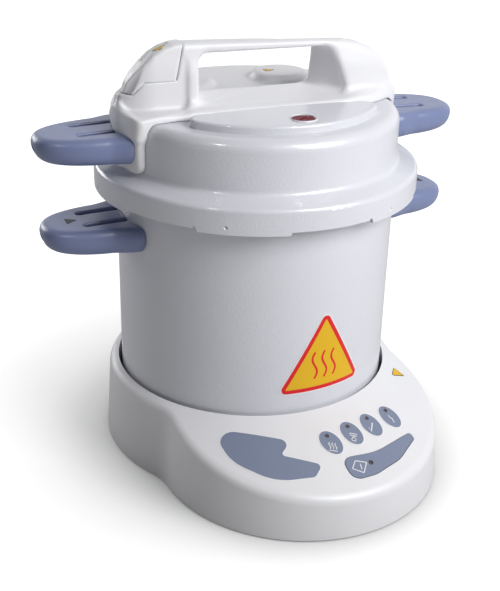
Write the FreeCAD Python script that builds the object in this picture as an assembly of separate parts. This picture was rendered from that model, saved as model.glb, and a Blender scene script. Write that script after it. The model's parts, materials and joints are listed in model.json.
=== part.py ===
# A portable bench-top steam steriliser: a pressure vessel with a bayonet lid on a heated base.
# Units are millimetres. The origin is on the vessel's axis at the bench plane, +Z is up and the
# control panel faces -Y. The vessel, the lid and their grips are turned a little on the base.
import FreeCAD
import Part
import math
import os

V = FreeCAD.Vector
UP = V(0, 0, 1)
CENTRE = V(0, 0, 0)

# --- driving dimensions -------------------------------------------------------------------------
VESSEL_R = 114.0
VESSEL_WALL = 4.0
VESSEL_FLOOR = 5.0
VESSEL_Z0 = 46.0
VESSEL_Z1 = 243.0
GRIP_TURN = -8.5          # degrees from the base's X axis to the grips' axis
FIT = 0.05                # clearance between pieces that only touch
GAP = 0.3                 # clearance between loose pieces

# base cover
COVER_Z0 = 1.5
REAR_R = 128.5
LOBE_R = 118.0
LOBE_Y = -77.5
WAIST_R = 45.0
DRAFT_IN = 4.5            # the wall leans in by this much at DRAFT_Z
DRAFT_Z = 75.0
COVER_WALL = 3.0
COVER_SKIN = 3.3          # upright thickness under the sloping top
COLLAR_R = 117.0
COLLAR_Z = 69.5
PANEL_SLOPE = math.radians(24.3)
PANEL_Y = -152.0
CREST_R = 9.0
BOSS_R = 4.5
BOSS_IN = 7.0             # from the outer wall to a boss's axis
PLATE_Z0 = 4.0
PLATE_Z1 = 6.5
FOOT_PLACES = [(-80, 70), (80, 70), (-72, -138), (72, -138), (0, 0)]
PILLAR_R = 96.0
PILLAR_ANGLES = (30.0, 150.0, 270.0)

# panel: corners are (x, y, rounding)
OVAL_PLACES = [(-15.0, -146.0), (6.2, -144.1), (27.2, -142.2), (49.2, -139.6)]
OVAL_LONG = 11.5
OVAL_SHORT = 8.2
OVAL_TURN = 100.0
LED_R = 1.5
LED_UP = 6.2              # from an oval's middle to its light
KEY_LED = (6.0, -170.6)
KEY_TRAVEL = 0.8
KEY_CORNERS = [(-14.8, -160.5, 7.0), (16.0, -164.5, 60.0), (57.8, -156.6, 2.5), (57.0, -162.5, 3.0),
               (32.0, -175.0, 30.0), (5.0, -180.2, 20.0), (-15.8, -179.0, 8.5)]
NAME_CORNERS = [(-93.5, -99.0, 9.0), (-44.0, -134.0, 5.5), (-57.5, -141.0, 2.5), (-32.0, -159.5, 3.5),
                (-42.5, -166.5, 5.0), (-72.0, -158.5, 40.0), (-93.0, -131.0, 36.0)]
LABEL_DEEP = 0.5
LABEL_PROUD = 0.2
BOARD_DEEP = 13.0
BOARD_THICK = 1.6
SWITCH_X = 24.0
SWITCH_Y = -169.0
SWITCH_HIGH = 4.0

# mains inlet
INLET_Y = 118.0
INLET_Z = 30.0
INLET_HALF_X = 24.0
INLET_SCREW_X = 20.0

# heating
HEATER_RING_R = 62.0
HEATER_TUBE_R = 4.2
HEATER_LEG_Y = 11.0
HEATER_Z = VESSEL_Z0 - FIT - HEATER_TUBE_R
CLAMP_Z1 = HEATER_Z - HEATER_TUBE_R - FIT
CLAMP_Z0 = CLAMP_Z1 - 2.0
PAD_Z0 = 24.0
TRIVET_R = 104.0
TRIVET_Z = 60.0

# lid
LUG_COUNT = 6
LUG_PITCH = 360.0 / LUG_COUNT
LUG_MID = -116.6          # middle of one lug, in degrees from the grips' axis
LUG_WIDE = 30.0
SKIRT_R = 131.7
SKIRT_WALL = 3.0
SKIRT_Z0 = 229.7
SKIRT_Z1 = 246.8
TAB_Z0 = 227.2
FLANGE_Z = 251.2
LID_TOP_Z = 291.5
LID_WALL = 4.0
SHOULDER_R = 9.0
PLATEAU_R = 97.0
PLATEAU_Z = 297.5
PLATEAU_BACK_Y = -46.0
CROWN_Z = 299.5
INDICATOR_X = 2.0
INDICATOR_Y = -81.0
EXHAUST_X = -98.0
EXHAUST_Y = -16.0
SAFETY_X = -45.0
SAFETY_Y = 62.0

# handle cover
COVER_R = 117.0
COVER_FRONT_Y = -40.0
CORNER_R = 30.0           # plan rounding of the cover's right front corner
LEG_Z0 = 256.5
LEG_MID = 7.25            # degrees from a grip's axis to the middle of the leg around it
LEG_WIDE = 28.5
DECK_LOW_Z = 284.0
DECK_Z = 303.0
DECK_BACK_Z = 295.0       # the deck falls behind the carry handle, from DECK_Z to this
SLOPE_Y0 = 36.0
SLOPE_Y1 = 72.0
FIN_Y0 = -27.0
FIN_Y1 = -5.0
FIN_TOP_Z = 343.0
HUMPS = [(46.0, 58.0, 25.0), (-34.0, 62.0, 30.0)]    # x, y, radius
HUMP_Z = 301.5
COVER_SCREW_PLACES = [(-70.0, -10.0), (84.0, -10.0), (-30.0, 80.0), (54.0, 70.0)]
COVER_SCREW_Z = 297.5

# release lever: outlines are (x, z) in the front view
LEVER_X0 = -76.0
LEVER_Z0 = 322.0
LEVER_IN = 2.5            # the lever's face is this far behind the front of the handle
LEVER_TOP = [(-77.8, 345.5), (-90, 343.5), (-104, 334), (-115, 325), (-118, 317)]
PIN_X = -79.0
PIN_Z = 340.5
PIN_R = 1.2
EAR_Y0 = -20.0
EAR_Y1 = -12.0

# grips
GRIP_ROOT_X = 112.0
GRIP_HALF_Y = 35.0
GRIP_THICK = 22.0
GRIP_DROOP = 1.5
LID_GRIP_Z = 281.5        # top face at the root
LID_TIP_X = 180.0
VESSEL_GRIP_Z = 210.0
VESSEL_TIP_X = 177.0
SLOT_X1 = 145.5
SLOT_Y = 13.5
SLOT_WIDE = 6.5
SLOT_DEEP = 13.0
TANG_X1 = 164.0
TANG_HALF_Y = 7.0
TANG_THICK = 4.0
FOOT_THICK = 1.5

# labels
LABEL_MIDDLE = -83.0      # degrees from the grips' axis
LABEL_SIDE = 76.0
LABEL_Z = 86.5
LABEL_ROUND = 4.0
LABEL_THICK = 0.25
BASE_LABEL = V(91.0, -93.5, 0)


# --- helpers ------------------------------------------------------------------------------------
def cylinder(r, z0, z1, x=0.0, y=0.0):
    return Part.makeCylinder(r, z1 - z0, V(x, y, z0), UP)


def tube(r_in, r_out, z0, z1, x=0.0, y=0.0):
    return cylinder(r_out, z0, z1, x, y).cut(cylinder(r_in, z0 - 1, z1 + 1, x, y))


def rod(r, a, b):
    line = b.sub(a)
    return Part.makeCylinder(r, line.Length, a, line)


def box(x0, x1, y0, y1, z0, z1):
    return Part.makeBox(x1 - x0, y1 - y0, z1 - z0, V(x0, y0, z0))


def outline(corners, grow=0.0):
    """A closed outline in the XY plane from (x, y) or (x, y, rounding) corners, made larger by grow."""
    places = [V(c[0], c[1], 0) for c in corners]
    ahead = places[1:] + places[:1]
    behind = places[-1:] + places[:-1]
    area = sum(a.x * b.y - b.x * a.y for a, b in zip(places, ahead))
    side = math.copysign(1.0, area)
    edges = []
    ends = []
    for corner, here, before, after in zip(corners, places, behind, ahead):
        arriving = here.sub(before).normalize()
        leaving = after.sub(here).normalize()
        across = arriving.add(leaving)
        outward = V(across.y, -across.x, 0).normalize() * side
        half_turn = arriving.getAngle(leaving) / 2
        here = here.add(outward * (grow / math.cos(half_turn)))
        rounding = corner[2] if len(corner) > 2 else 0.0
        if rounding:
            turn = (arriving.x * leaving.y - arriving.y * leaving.x) * side
            rounding += math.copysign(grow, turn)
            reach = rounding * math.tan(half_turn)
            start, end = here.sub(arriving * reach), here.add(leaving * reach)
            inward = math.copysign(rounding / math.cos(half_turn) - rounding, -turn)
            edges.append(Part.Arc(start, here.add(outward * inward), end).toShape())
            ends.append((start, end))
        else:
            ends.append((here, here))
    for one, following in zip(ends, ends[1:] + ends[:1]):
        edges.append(Part.makeLine(one[1], following[0]))
    return Part.Wire(Part.sortEdges(edges)[0])


def revolve(corners, angle=360.0):
    """Turn a closed (radius, z) or (radius, z, rounding) outline about the Z axis."""
    wire = outline(corners)
    wire.rotate(CENTRE, V(1, 0, 0), 90.0)
    return Part.Face(wire).revolve(CENTRE, UP, angle)


def front_prism(corners, y0, y1):
    """A closed (x, z) or (x, z, rounding) outline, extruded from y0 to y1."""
    wire = outline(corners)
    wire.rotate(CENTRE, V(1, 0, 0), 90.0)
    wire.translate(V(0, y0, 0))
    return Part.Face(wire).extrude(V(0, y1 - y0, 0))


def turned(shape, degrees):
    copy = shape.copy()
    copy.rotate(CENTRE, UP, degrees)
    return copy


def group(shapes):
    return Part.makeCompound(shapes)


def ring_of(shape, count, start=0.0):
    return group([turned(shape, start + k * 360.0 / count) for k in range(count)])


def union(shapes):
    result = shapes[0].multiFuse(shapes[1:])
    return result.removeSplitter()


def smooth(shape, radius, wanted):
    """Round the edges that wanted() picks, and keep the sharp shape if that can't be done."""
    edges = [e for e in shape.Edges if wanted(e)]
    for r in (radius, radius * 0.6, radius * 0.3):
        try:
            rounded = shape.makeFillet(r, edges)
            if rounded.isValid() and rounded.Volume > 0:
                return rounded
        except Exception:
            pass
    print("edges left sharp:", len(edges))
    return shape


def polar(r, degrees, z=0.0):
    a = math.radians(degrees)
    return V(r * math.cos(a), r * math.sin(a), z)


def sector(r_in, r_out, z0, z1, middle, wide):
    outline = [(r_in, z0), (r_out, z0), (r_out, z1), (r_in, z1)]
    return turned(revolve(outline, wide), middle - wide / 2.0)


# --- base ---------------------------------------------------------------------------------------
def base_outline(inset, z):
    """Plan of the base: a rear circle and a front circle, joined by two concave arcs."""
    rear, lobe, waist = REAR_R - inset, LOBE_R - inset, WAIST_R + inset
    far, near, gap = rear + waist, lobe + waist, -LOBE_Y
    cy = -(far ** 2 - near ** 2 + gap ** 2) / (2 * gap)
    cx = math.sqrt(far ** 2 - cy ** 2)
    rear_x, rear_y = cx * rear / far, cy * rear / far
    lobe_x, lobe_y = cx * lobe / near, LOBE_Y + (cy - LOBE_Y) * lobe / near
    middle = math.hypot(rear_x - cx + lobe_x - cx, rear_y - cy + lobe_y - cy)
    mid_x = cx + (rear_x + lobe_x - 2 * cx) / middle * waist
    mid_y = cy + (rear_y + lobe_y - 2 * cy) / middle * waist

    def arc(a, b, c):
        return Part.Arc(V(a[0], a[1], z), V(b[0], b[1], z), V(c[0], c[1], z)).toShape()

    edges = [
        arc((rear_x, rear_y), (0, rear), (-rear_x, rear_y)),
        arc((-rear_x, rear_y), (-mid_x, mid_y), (-lobe_x, lobe_y)),
        arc((-lobe_x, lobe_y), (0, LOBE_Y - lobe), (lobe_x, lobe_y)),
        arc((lobe_x, lobe_y), (mid_x, mid_y), (rear_x, rear_y)),
    ]
    return Part.Wire(edges)


def base_block(inset, z0):
    """The drafted outer block of the base, before its top is cut to the panel cone."""
    wires = [base_outline(inset + DRAFT_IN * (z - COVER_Z0) / (DRAFT_Z - COVER_Z0), z)
             for z in (z0, DRAFT_Z)]
    return Part.makeLoft(wires, True, True)


def cone_z(r, lift=0.0):
    return COLLAR_Z + lift - math.tan(PANEL_SLOPE) * (r - COLLAR_R)


def below_cone(lift=0.0):
    """Everything under the top surface of the base, which is a cone about the vessel's axis."""
    far = 250.0
    return revolve([(0, -60), (far, -60), (far, cone_z(far, lift)), (0, cone_z(0, lift))])


def panel_wire(corners, grow=0.0):
    """A closed outline on the panel from plan corners, in the panel's own plane."""
    return outline([(x, (y - PANEL_Y) / math.cos(PANEL_SLOPE), r) for x, y, r in corners], grow)


def on_panel(shape):
    shape.rotate(CENTRE, V(1, 0, 0), math.degrees(PANEL_SLOPE))
    shape.translate(V(0, PANEL_Y, cone_z(-PANEL_Y)))
    return shape


def panel_prism(wire, depth=20.0, height=12.0):
    solid = Part.Face(wire).extrude(V(0, 0, depth + height))
    solid.translate(V(0, 0, -depth))
    return on_panel(solid)


def oval_wire(place, grow=0.0):
    oval = Part.Ellipse(CENTRE, OVAL_LONG + grow, OVAL_SHORT + grow).toShape()
    wire = Part.Wire(oval)
    wire.rotate(CENTRE, UP, OVAL_TURN)
    wire.translate(V(place[0], (place[1] - PANEL_Y) / math.cos(PANEL_SLOPE), 0))
    return wire


def led_places():
    return [(x, y + LED_UP) for x, y in OVAL_PLACES] + [KEY_LED]


def led_rod(place, r, depth, height):
    lens = Part.makeCylinder(r, depth + height, V(0, 0, -depth), UP)
    lens.translate(V(place[0], (place[1] - PANEL_Y) / math.cos(PANEL_SLOPE), 0))
    return on_panel(lens)


def inlay(prism, proud, deep):
    """The part of a panel prism between two offsets of the cone surface."""
    return prism.common(below_cone(proud)).cut(below_cone(-deep))


def base_cover():
    outer = base_block(0.0, COVER_Z0).common(below_cone())
    outer = smooth(outer, CREST_R, lambda e: e.BoundBox.ZMin > 25 and e.BoundBox.ZMax > 30
                   and e.Length > 60)
    inner = base_block(COVER_WALL, COVER_Z0 - 1).common(below_cone(-COVER_SKIN))
    for p in screw_places():
        inner = inner.cut(screw_boss(p))
    shell = outer.cut(inner)
    lip = tube(COLLAR_R, COLLAR_R + COVER_WALL, 50.0, COLLAR_Z - 2.0)
    wide = INLET_HALF_X + COVER_WALL
    housing = box(-wide, wide, INLET_Y - COVER_WALL, 140, 9, 51)
    shell = shell.fuse(lip).fuse(housing.common(outer))
    shell = shell.cut(cylinder(COLLAR_R, 0, 100))
    shell = shell.cut(box(-INLET_HALF_X, INLET_HALF_X, INLET_Y, 140, 12, 48))
    shell = shell.cut(box(-13.9, 13.9, 110, 120, INLET_Z - 10.3, INLET_Z + 10.3))
    for side in (-1, 1):
        x = side * INLET_SCREW_X
        shell = shell.cut(rod(1.7, V(x, 110, INLET_Z), V(x, 122, INLET_Z)))
    for place in OVAL_PLACES:
        shell = shell.cut(panel_prism(oval_wire(place, FIT)).cut(below_cone(-LABEL_DEEP - FIT)))
    name_hole = panel_prism(panel_wire(NAME_CORNERS, FIT))
    shell = shell.cut(name_hole.cut(below_cone(-LABEL_DEEP - FIT)))
    shell = shell.cut(panel_prism(panel_wire(KEY_CORNERS, 0.5)))
    for place in led_places()[:-1]:
        shell = shell.cut(led_rod(place, LED_R + GAP, 20, 10))
    return shell.removeSplitter()


def screw_places():
    rear = [polar(REAR_R - BOSS_IN, angle) for angle in (35.0, 145.0)]
    front = [polar(LOBE_R - BOSS_IN, angle).add(V(0, LOBE_Y, 0)) for angle in (-30.0, -150.0)]
    return rear + front


def screw_boss(p):
    boss = cylinder(BOSS_R, PLATE_Z1 + FIT, 80.0, p.x, p.y)
    return boss.cut(cylinder(1.6, 0, 20.0, p.x, p.y))


def plate_outline(inset, z0, z1):
    face = Part.Face(base_outline(inset, z0))
    return face.extrude(V(0, 0, z1 - z0))


def base_plate():
    plate = plate_outline(COVER_WALL + 0.8, PLATE_Z0, PLATE_Z1)
    for x, y in FOOT_PLACES:
        plate = plate.cut(cylinder(4.0 + FIT, 0, 10, x, y))
    for angle in PILLAR_ANGLES:
        p = polar(PILLAR_R, angle)
        plate = plate.cut(cylinder(2.2, 0, 10, p.x, p.y))
    for p in screw_places():
        plate = plate.cut(cylinder(2.0, 0, 10, p.x, p.y))
    return plate


def foot(x, y):
    pad = smooth(cylinder(10.0, 0.0, PLATE_Z0 - FIT, x, y), 1.0, lambda e: e.BoundBox.ZMax < 0.5)
    stem = cylinder(4.0, PLATE_Z0 - 1, PLATE_Z1 + 0.3, x, y)
    head = Part.makeCone(5.5, 4.2, 2.2, V(x, y, PLATE_Z1 + FIT), UP)
    return pad.fuse(stem).fuse(head)


def feet():
    return group([foot(x, y) for x, y in FOOT_PLACES])


def plate_screws():
    screws = []
    for p in screw_places():
        screws.append(cylinder(3.2, 2.2, PLATE_Z0 - FIT, p.x, p.y).fuse(
            cylinder(1.5, 3.5, 18.0, p.x, p.y)))
    return group(screws)


def vessel_pillars():
    pillars = []
    for angle in PILLAR_ANGLES:
        p = polar(PILLAR_R, angle)
        pillars.append(tube(1.8, 5.0, PLATE_Z1 + FIT, VESSEL_Z0 - FIT, p.x, p.y))
    return group(pillars)


def pillar_screws():
    screws = []
    for angle in PILLAR_ANGLES:
        p = polar(PILLAR_R, angle)
        head = cylinder(4.0, 1.4, PLATE_Z0 - FIT, p.x, p.y)
        screws.append(head.fuse(cylinder(1.7, 3.5, VESSEL_Z0 + 3.0, p.x, p.y)))
    return group(screws)


# --- heating ------------------------------------------------------------------------------------
def heater_element():
    ring = Part.makeTorus(HEATER_RING_R, HEATER_TUBE_R, V(0, 0, HEATER_Z), UP)
    gap = box(0, 100, -9, 9, HEATER_Z - 6, HEATER_Z + 6)
    ring = ring.cut(gap)
    x = math.sqrt(HEATER_RING_R ** 2 - HEATER_LEG_Y ** 2)
    ends = [rod(HEATER_TUBE_R - 0.2, V(x, y, HEATER_Z), V(x, y, 14.0))
            for y in (-HEATER_LEG_Y, HEATER_LEG_Y)]
    return ring.fuse(ends[0]).fuse(ends[1])


def terminal_gaps():
    x = math.sqrt(HEATER_RING_R ** 2 - HEATER_LEG_Y ** 2)
    return [cylinder(HEATER_TUBE_R + 0.5, 0, 60, x, y) for y in (-HEATER_LEG_Y, HEATER_LEG_Y)]


def heater_clamp():
    disc = tube(38.0, 84.0, CLAMP_Z0, CLAMP_Z1)
    for gap in terminal_gaps():
        disc = disc.cut(gap)
    return disc


def insulation_pad():
    pad = tube(38.0, 86.0, PAD_Z0, CLAMP_Z0 - FIT)
    for gap in terminal_gaps():
        pad = pad.cut(gap)
    return pad


def thermostat():
    body = cylinder(11.0, VESSEL_Z0 - 12, VESSEL_Z0 - FIT, -13, 0)
    return body.fuse(box(-16, -10, -9, 9, VESSEL_Z0 - 20, VESSEL_Z0 - 11.5))


def thermal_cutout():
    body = cylinder(8.0, VESSEL_Z0 - 9, VESSEL_Z0 - FIT, 13, 0)
    return body.fuse(box(11, 15, -6, 6, VESSEL_Z0 - 16, VESSEL_Z0 - 8.5))


# --- controls -----------------------------------------------------------------------------------
def board_block(x0, x1, y0, y1, deep, thick):
    scale = math.cos(PANEL_SLOPE)
    block = box(x0, x1, (y0 - PANEL_Y) / scale, (y1 - PANEL_Y) / scale, -deep - thick, -deep)
    return on_panel(block)


def control_board():
    return board_block(-46, 60, -176, -128, BOARD_DEEP, BOARD_THICK)


def board_posts():
    posts = []
    for x, y in ((-40, -132), (56, -131), (-40, -171), (56, -149)):
        post = led_rod((x, y), 2.5, BOARD_DEEP - FIT, 0.0)
        posts.append(post.common(below_cone(-COVER_SKIN - FIT)))
    return group(posts)


def indicator_lenses():
    lenses = []
    for place in led_places():
        lens = led_rod(place, LED_R, BOARD_DEEP - FIT, 5.0).common(below_cone(-0.4))
        lenses.append(lens)
    return group(lenses)


def start_switch():
    return board_block(SWITCH_X - 3, SWITCH_X + 3, SWITCH_Y - 2.7, SWITCH_Y + 2.7,
                       BOARD_DEEP - SWITCH_HIGH, SWITCH_HIGH - FIT)


def start_key():
    cap = inlay(panel_prism(panel_wire(KEY_CORNERS)), 0.3, COVER_SKIN + 0.2)
    flange = panel_prism(panel_wire(KEY_CORNERS, 1.6))
    flange = inlay(flange, -COVER_SKIN - 0.1, COVER_SKIN + 1.1)
    plunger_deep = BOARD_DEEP - SWITCH_HIGH - KEY_TRAVEL - 0.1
    plunger = led_rod((SWITCH_X, SWITCH_Y), 2.0, plunger_deep, 0.0)
    plunger = plunger.common(below_cone(-1.0))
    key = cap.fuse(flange).fuse(plunger)
    return key.cut(led_rod(KEY_LED, LED_R + 0.5, 20, 10))


def indicator_labels():
    labels = []
    for place, led in zip(OVAL_PLACES, led_places()):
        label = inlay(panel_prism(oval_wire(place)), LABEL_PROUD, LABEL_DEEP)
        labels.append(label.cut(led_rod(led, LED_R + GAP, 20, 10)))
    return group(labels)


def name_panel():
    return inlay(panel_prism(panel_wire(NAME_CORNERS)), LABEL_PROUD, LABEL_DEEP)


# --- mains --------------------------------------------------------------------------------------
def mains_inlet():
    flange = box(-23.5, 23.5, INLET_Y + FIT, INLET_Y + 3.0, INLET_Z - 12, INLET_Z + 12)
    flange = smooth(flange, 3.0, lambda e: abs(e.BoundBox.YLength - 2.95) < 0.1)
    body = box(-13.6, 13.6, INLET_Y - 20, INLET_Y + 1, INLET_Z - 10, INLET_Z + 10)
    well = box(-11.5, 11.5, INLET_Y - 14, INLET_Y + 5, INLET_Z - 7.5, INLET_Z + 7.5)
    inlet = flange.fuse(body).cut(well)
    for side in (-1, 1):
        x = side * INLET_SCREW_X
        inlet = inlet.cut(rod(1.7, V(x, 100, INLET_Z), V(x, 130, INLET_Z)))
    for x, z in ((-6, INLET_Z), (6, INLET_Z), (0, INLET_Z + 3.5)):
        inlet = inlet.fuse(box(x - 1, x + 1, INLET_Y - 15, INLET_Y - 2, z - 2, z + 2))
    return inlet.removeSplitter()


def inlet_screws():
    screws = []
    for side in (-1, 1):
        x = side * INLET_SCREW_X
        head = rod(3.0, V(x, INLET_Y + 3.0 + FIT, INLET_Z), V(x, INLET_Y + 5.0, INLET_Z))
        shank = rod(1.5, V(x, INLET_Y - 8, INLET_Z), V(x, INLET_Y + 3.5, INLET_Z))
        screws.append(head.fuse(shank))
    return group(screws)


def cable(points, r):
    pieces = [rod(r, a, b) for a, b in zip(points, points[1:])]
    knees = [Part.makeSphere(r, p) for p in points[1:-1]]
    return union(pieces + knees)


def wiring():
    low = 10.5
    live = cable([V(6, 96.0, 28), V(6, 90, low + 6), V(30, 60, low), V(60.7, 18, low),
                  V(61, 11.0, 12.2)], 1.4)
    neutral = cable([V(-6, 96.0, 28), V(-6, 88, low), V(-40, 40, low), V(-50, -60, low),
                     V(-34, -128, 28)], 1.4)
    signal = cable([V(-13, -4, 24.0), V(-13, -20, low), V(-10, -90, low), V(-5, -130, 30)], 1.4)
    return group([live, neutral, signal])


# --- vessel -------------------------------------------------------------------------------------
def vessel():
    r_in = VESSEL_R - VESSEL_WALL
    floor_z = VESSEL_Z0 + VESSEL_FLOOR
    pot = cylinder(VESSEL_R, VESSEL_Z0, VESSEL_Z1)
    pot = smooth(pot, 6.0, lambda e: e.BoundBox.ZMax < VESSEL_Z0 + 1 and e.Length > 100)
    hollow = cylinder(r_in, floor_z, VESSEL_Z1 + 1)
    hollow = smooth(hollow, 5.0, lambda e: e.BoundBox.ZMax < floor_z + 1 and e.Length > 100)
    pot = pot.cut(hollow)
    for k in range(LUG_COUNT):
        pot = pot.fuse(sector(VESSEL_R - 1, 121.2, 234.0, 240.0, LUG_MID + k * LUG_PITCH, 28.0))
    for angle in PILLAR_ANGLES:
        p = polar(PILLAR_R, angle - GRIP_TURN)
        pot = pot.cut(cylinder(1.8, VESSEL_Z0 - 1, VESSEL_Z0 + 3.5, p.x, p.y))
    return turned(pot.removeSplitter(), GRIP_TURN)


def trivet():
    plate = cylinder(TRIVET_R, TRIVET_Z, TRIVET_Z + 1.5)
    holes = []
    for ring, count in ((28.0, 6), (56.0, 12), (84.0, 18)):
        for k in range(count):
            p = polar(ring, k * 360.0 / count)
            holes.append(cylinder(5.0, TRIVET_Z - 1, TRIVET_Z + 3, p.x, p.y))
    plate = plate.cut(group(holes))
    for k in range(3):
        p = polar(70.0, 30 + k * 120)
        plate = plate.fuse(cylinder(4.0, VESSEL_Z0 + VESSEL_FLOOR + FIT, TRIVET_Z + 0.5, p.x, p.y))
    return plate


# --- grips --------------------------------------------------------------------------------------
def grip_blank(tip_x):
    """A tongue grip pointing along +X with its top face at z = 0: a half ellipse in plan."""
    back_x = 80.0
    nose = Part.Ellipse(V(GRIP_ROOT_X, 0, 0), tip_x - GRIP_ROOT_X, GRIP_HALF_Y)
    arc = Part.Arc(nose, -math.pi / 2, math.pi / 2).toShape()
    back = Part.makePolygon([V(GRIP_ROOT_X, GRIP_HALF_Y, 0), V(back_x, GRIP_HALF_Y, 0),
                             V(back_x, -GRIP_HALF_Y, 0), V(GRIP_ROOT_X, -GRIP_HALF_Y, 0)])
    wire = Part.Wire(Part.sortEdges([arc] + back.Edges)[0])
    solid = Part.Face(wire).extrude(V(0, 0, -GRIP_THICK))
    solid = smooth(solid, 5.0, lambda e: e.BoundBox.ZMin > -0.1 and e.BoundBox.XMax > back_x + 5)
    return smooth(solid, 9.0, lambda e: e.BoundBox.ZMax < -GRIP_THICK + 0.1
                  and e.BoundBox.XMax > back_x + 5)


def grip_slot(side):
    y = side * SLOT_Y
    half = SLOT_WIDE / 2
    slot = box(105.0, SLOT_X1, y - half, y + half, -SLOT_DEEP, 5.0)
    return slot.fuse(cylinder(half, -SLOT_DEEP, 5.0, SLOT_X1, y))


def grip(top_z, tip_x, mark):
    """A grip along +X, hollowed for its bracket and screw, with its root against the vessel's wall."""
    body = grip_blank(tip_x)
    for side in (-1, 1):
        body = body.cut(grip_slot(side))
    mid_z = -GRIP_THICK / 2
    body = body.cut(rod(3.2, V(tip_x - 7, 0, mid_z), V(tip_x + 5, 0, mid_z)))
    body = body.cut(rod(1.8, V(TANG_X1 - 4, 0, mid_z), V(tip_x, 0, mid_z)))
    body = body.cut(box(70, TANG_X1 + 0.5, -TANG_HALF_Y - 0.1, TANG_HALF_Y + 0.1,
                        mid_z - TANG_THICK / 2 - 0.1, mid_z + TANG_THICK / 2 + 0.1))
    if mark:
        body = body.cut(grip_mark(0.6 + FIT, 0.4))
    body = placed_grip(body, top_z).cut(cylinder(VESSEL_R + GAP, 0, 400))
    return body.cut(foot_space(top_z))


def lid_grip(top_z, tip_x):
    """A grip whose root is also notched for the leg of the handle cover."""
    notch = sector(VESSEL_R - 1, COVER_R + GAP, LEG_Z0 - GAP, 310.0, LEG_MID, LEG_WIDE + 0.4)
    return grip(top_z, tip_x, False).cut(notch)


def grip_mark(deep, high):
    """An arrowhead on the grip's top face that points at the vessel."""
    wire = outline([(151.0, 0.0), (160.0, -6.0), (160.0, 6.0)])
    wire.translate(V(0, 0, -deep))
    return Part.Face(wire).extrude(V(0, 0, deep + high))


def placed_grip(shape, top_z):
    shape.rotate(V(GRIP_ROOT_X, 0, 0), V(0, 1, 0), GRIP_DROOP)
    shape.translate(V(0, 0, top_z))
    return shape


def foot_space(top_z):
    """Room for a bracket's curved foot."""
    mid_z = top_z - GRIP_THICK / 2
    return sector(VESSEL_R - 1, VESSEL_R + FOOT_THICK + 0.2, mid_z - 5.5, mid_z + 5.5, 0.0, 17.0)


def bracket(top_z):
    """A steel tang inside the grip, with a curved foot against the wall."""
    mid_z = -GRIP_THICK / 2
    tang = box(100, TANG_X1, -TANG_HALF_Y, TANG_HALF_Y, mid_z - TANG_THICK / 2,
               mid_z + TANG_THICK / 2)
    tang = tang.cut(rod(1.4, V(TANG_X1 - 12, 0, mid_z), V(TANG_X1 + 1, 0, mid_z)))
    tang = placed_grip(tang, top_z).cut(cylinder(VESSEL_R + 1.0, 0, 400))
    foot_z = top_z + mid_z
    pad = sector(VESSEL_R + FIT, VESSEL_R + FOOT_THICK, foot_z - 5, foot_z + 5, 0.0, 16.0)
    return tang.fuse(pad)


def grip_screw(top_z, tip_x):
    mid_z = -GRIP_THICK / 2
    head = rod(2.9, V(tip_x - 7 + FIT, 0, mid_z), V(tip_x - 4.5, 0, mid_z))
    shank = rod(1.35, V(TANG_X1 - 10, 0, mid_z), V(tip_x - 6, 0, mid_z))
    return placed_grip(head.fuse(shank), top_z)


def pair(shape):
    return [turned(shape, GRIP_TURN), turned(turned(shape, 180.0), GRIP_TURN)]


def arrow_marks():
    mark = placed_grip(grip_mark(0.6, 0.0), VESSEL_GRIP_Z)
    return group(pair(mark))


# --- lid ----------------------------------------------------------------------------------------
def lid_section():
    """Half section of the lid, outside first, then back along the inside."""
    skirt_in = SKIRT_R - SKIRT_WALL
    outside = [(skirt_in, SKIRT_Z0), (SKIRT_R, SKIRT_Z0), (SKIRT_R, SKIRT_Z1, 4.0),
               (VESSEL_R, FLANGE_Z, 5.0), (VESSEL_R, LID_TOP_Z, SHOULDER_R), (0, LID_TOP_Z)]
    inside = [(0, LID_TOP_Z - LID_WALL), (VESSEL_R - LID_WALL, LID_TOP_Z - LID_WALL, 6.0),
              (VESSEL_R - LID_WALL, 248.2), (VESSEL_R + 2, 248.2), (skirt_in, 244.5, 2.0)]
    return outside + inside


def plateau():
    """The raised front of the lid's top: a circle cut off behind, a little crowned."""
    radius = ((CROWN_Z - PLATEAU_Z) ** 2 + PLATEAU_R ** 2) / (2 * (CROWN_Z - PLATEAU_Z))
    disc = cylinder(PLATEAU_R, LID_TOP_Z - 1, CROWN_Z + 1)
    disc = disc.cut(box(-200, 200, PLATEAU_BACK_Y, 200, 0, 400))
    disc = smooth(disc, 10.0, lambda e: e.BoundBox.ZLength > 5)
    crown = Part.makeSphere(radius, V(0, 0, CROWN_Z - radius))
    return smooth(disc.common(crown), 2.0, lambda e: e.BoundBox.ZMin > PLATEAU_Z - 0.5)


def lid_shell():
    lid = revolve(lid_section()).fuse(plateau())
    for k in range(LUG_COUNT):
        middle = LUG_MID + k * LUG_PITCH
        lid = lid.fuse(sector(SKIRT_R - SKIRT_WALL, SKIRT_R, TAB_Z0, SKIRT_Z0 + 1, middle, LUG_WIDE))
        lid = lid.fuse(sector(121.8, SKIRT_R - 1, TAB_Z0, TAB_Z0 + 3.5, middle, LUG_WIDE))
        lid = lid.cut(Part.makeSphere(1.8, polar(SKIRT_R + 0.8, middle - 5.6, 232.6)))
        start = middle - LUG_WIDE / 2 - 0.9
        lid = lid.cut(rod(1.3, polar(SKIRT_R - 8, start, 229.9), polar(SKIRT_R + 3, start, 229.9)))
    lid = lid.cut(cylinder(10.2 + FIT, 200, 310, INDICATOR_X, INDICATOR_Y))
    lid = lid.cut(cylinder(6.0 + FIT, 200, 310, EXHAUST_X, EXHAUST_Y))
    lid = lid.cut(cylinder(8.0 + FIT, 200, 310, SAFETY_X, SAFETY_Y))
    for x, y in COVER_SCREW_PLACES:
        lid = lid.cut(cylinder(2.2, 200, 310, x, y))
    return turned(lid.removeSplitter(), GRIP_TURN)


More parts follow.
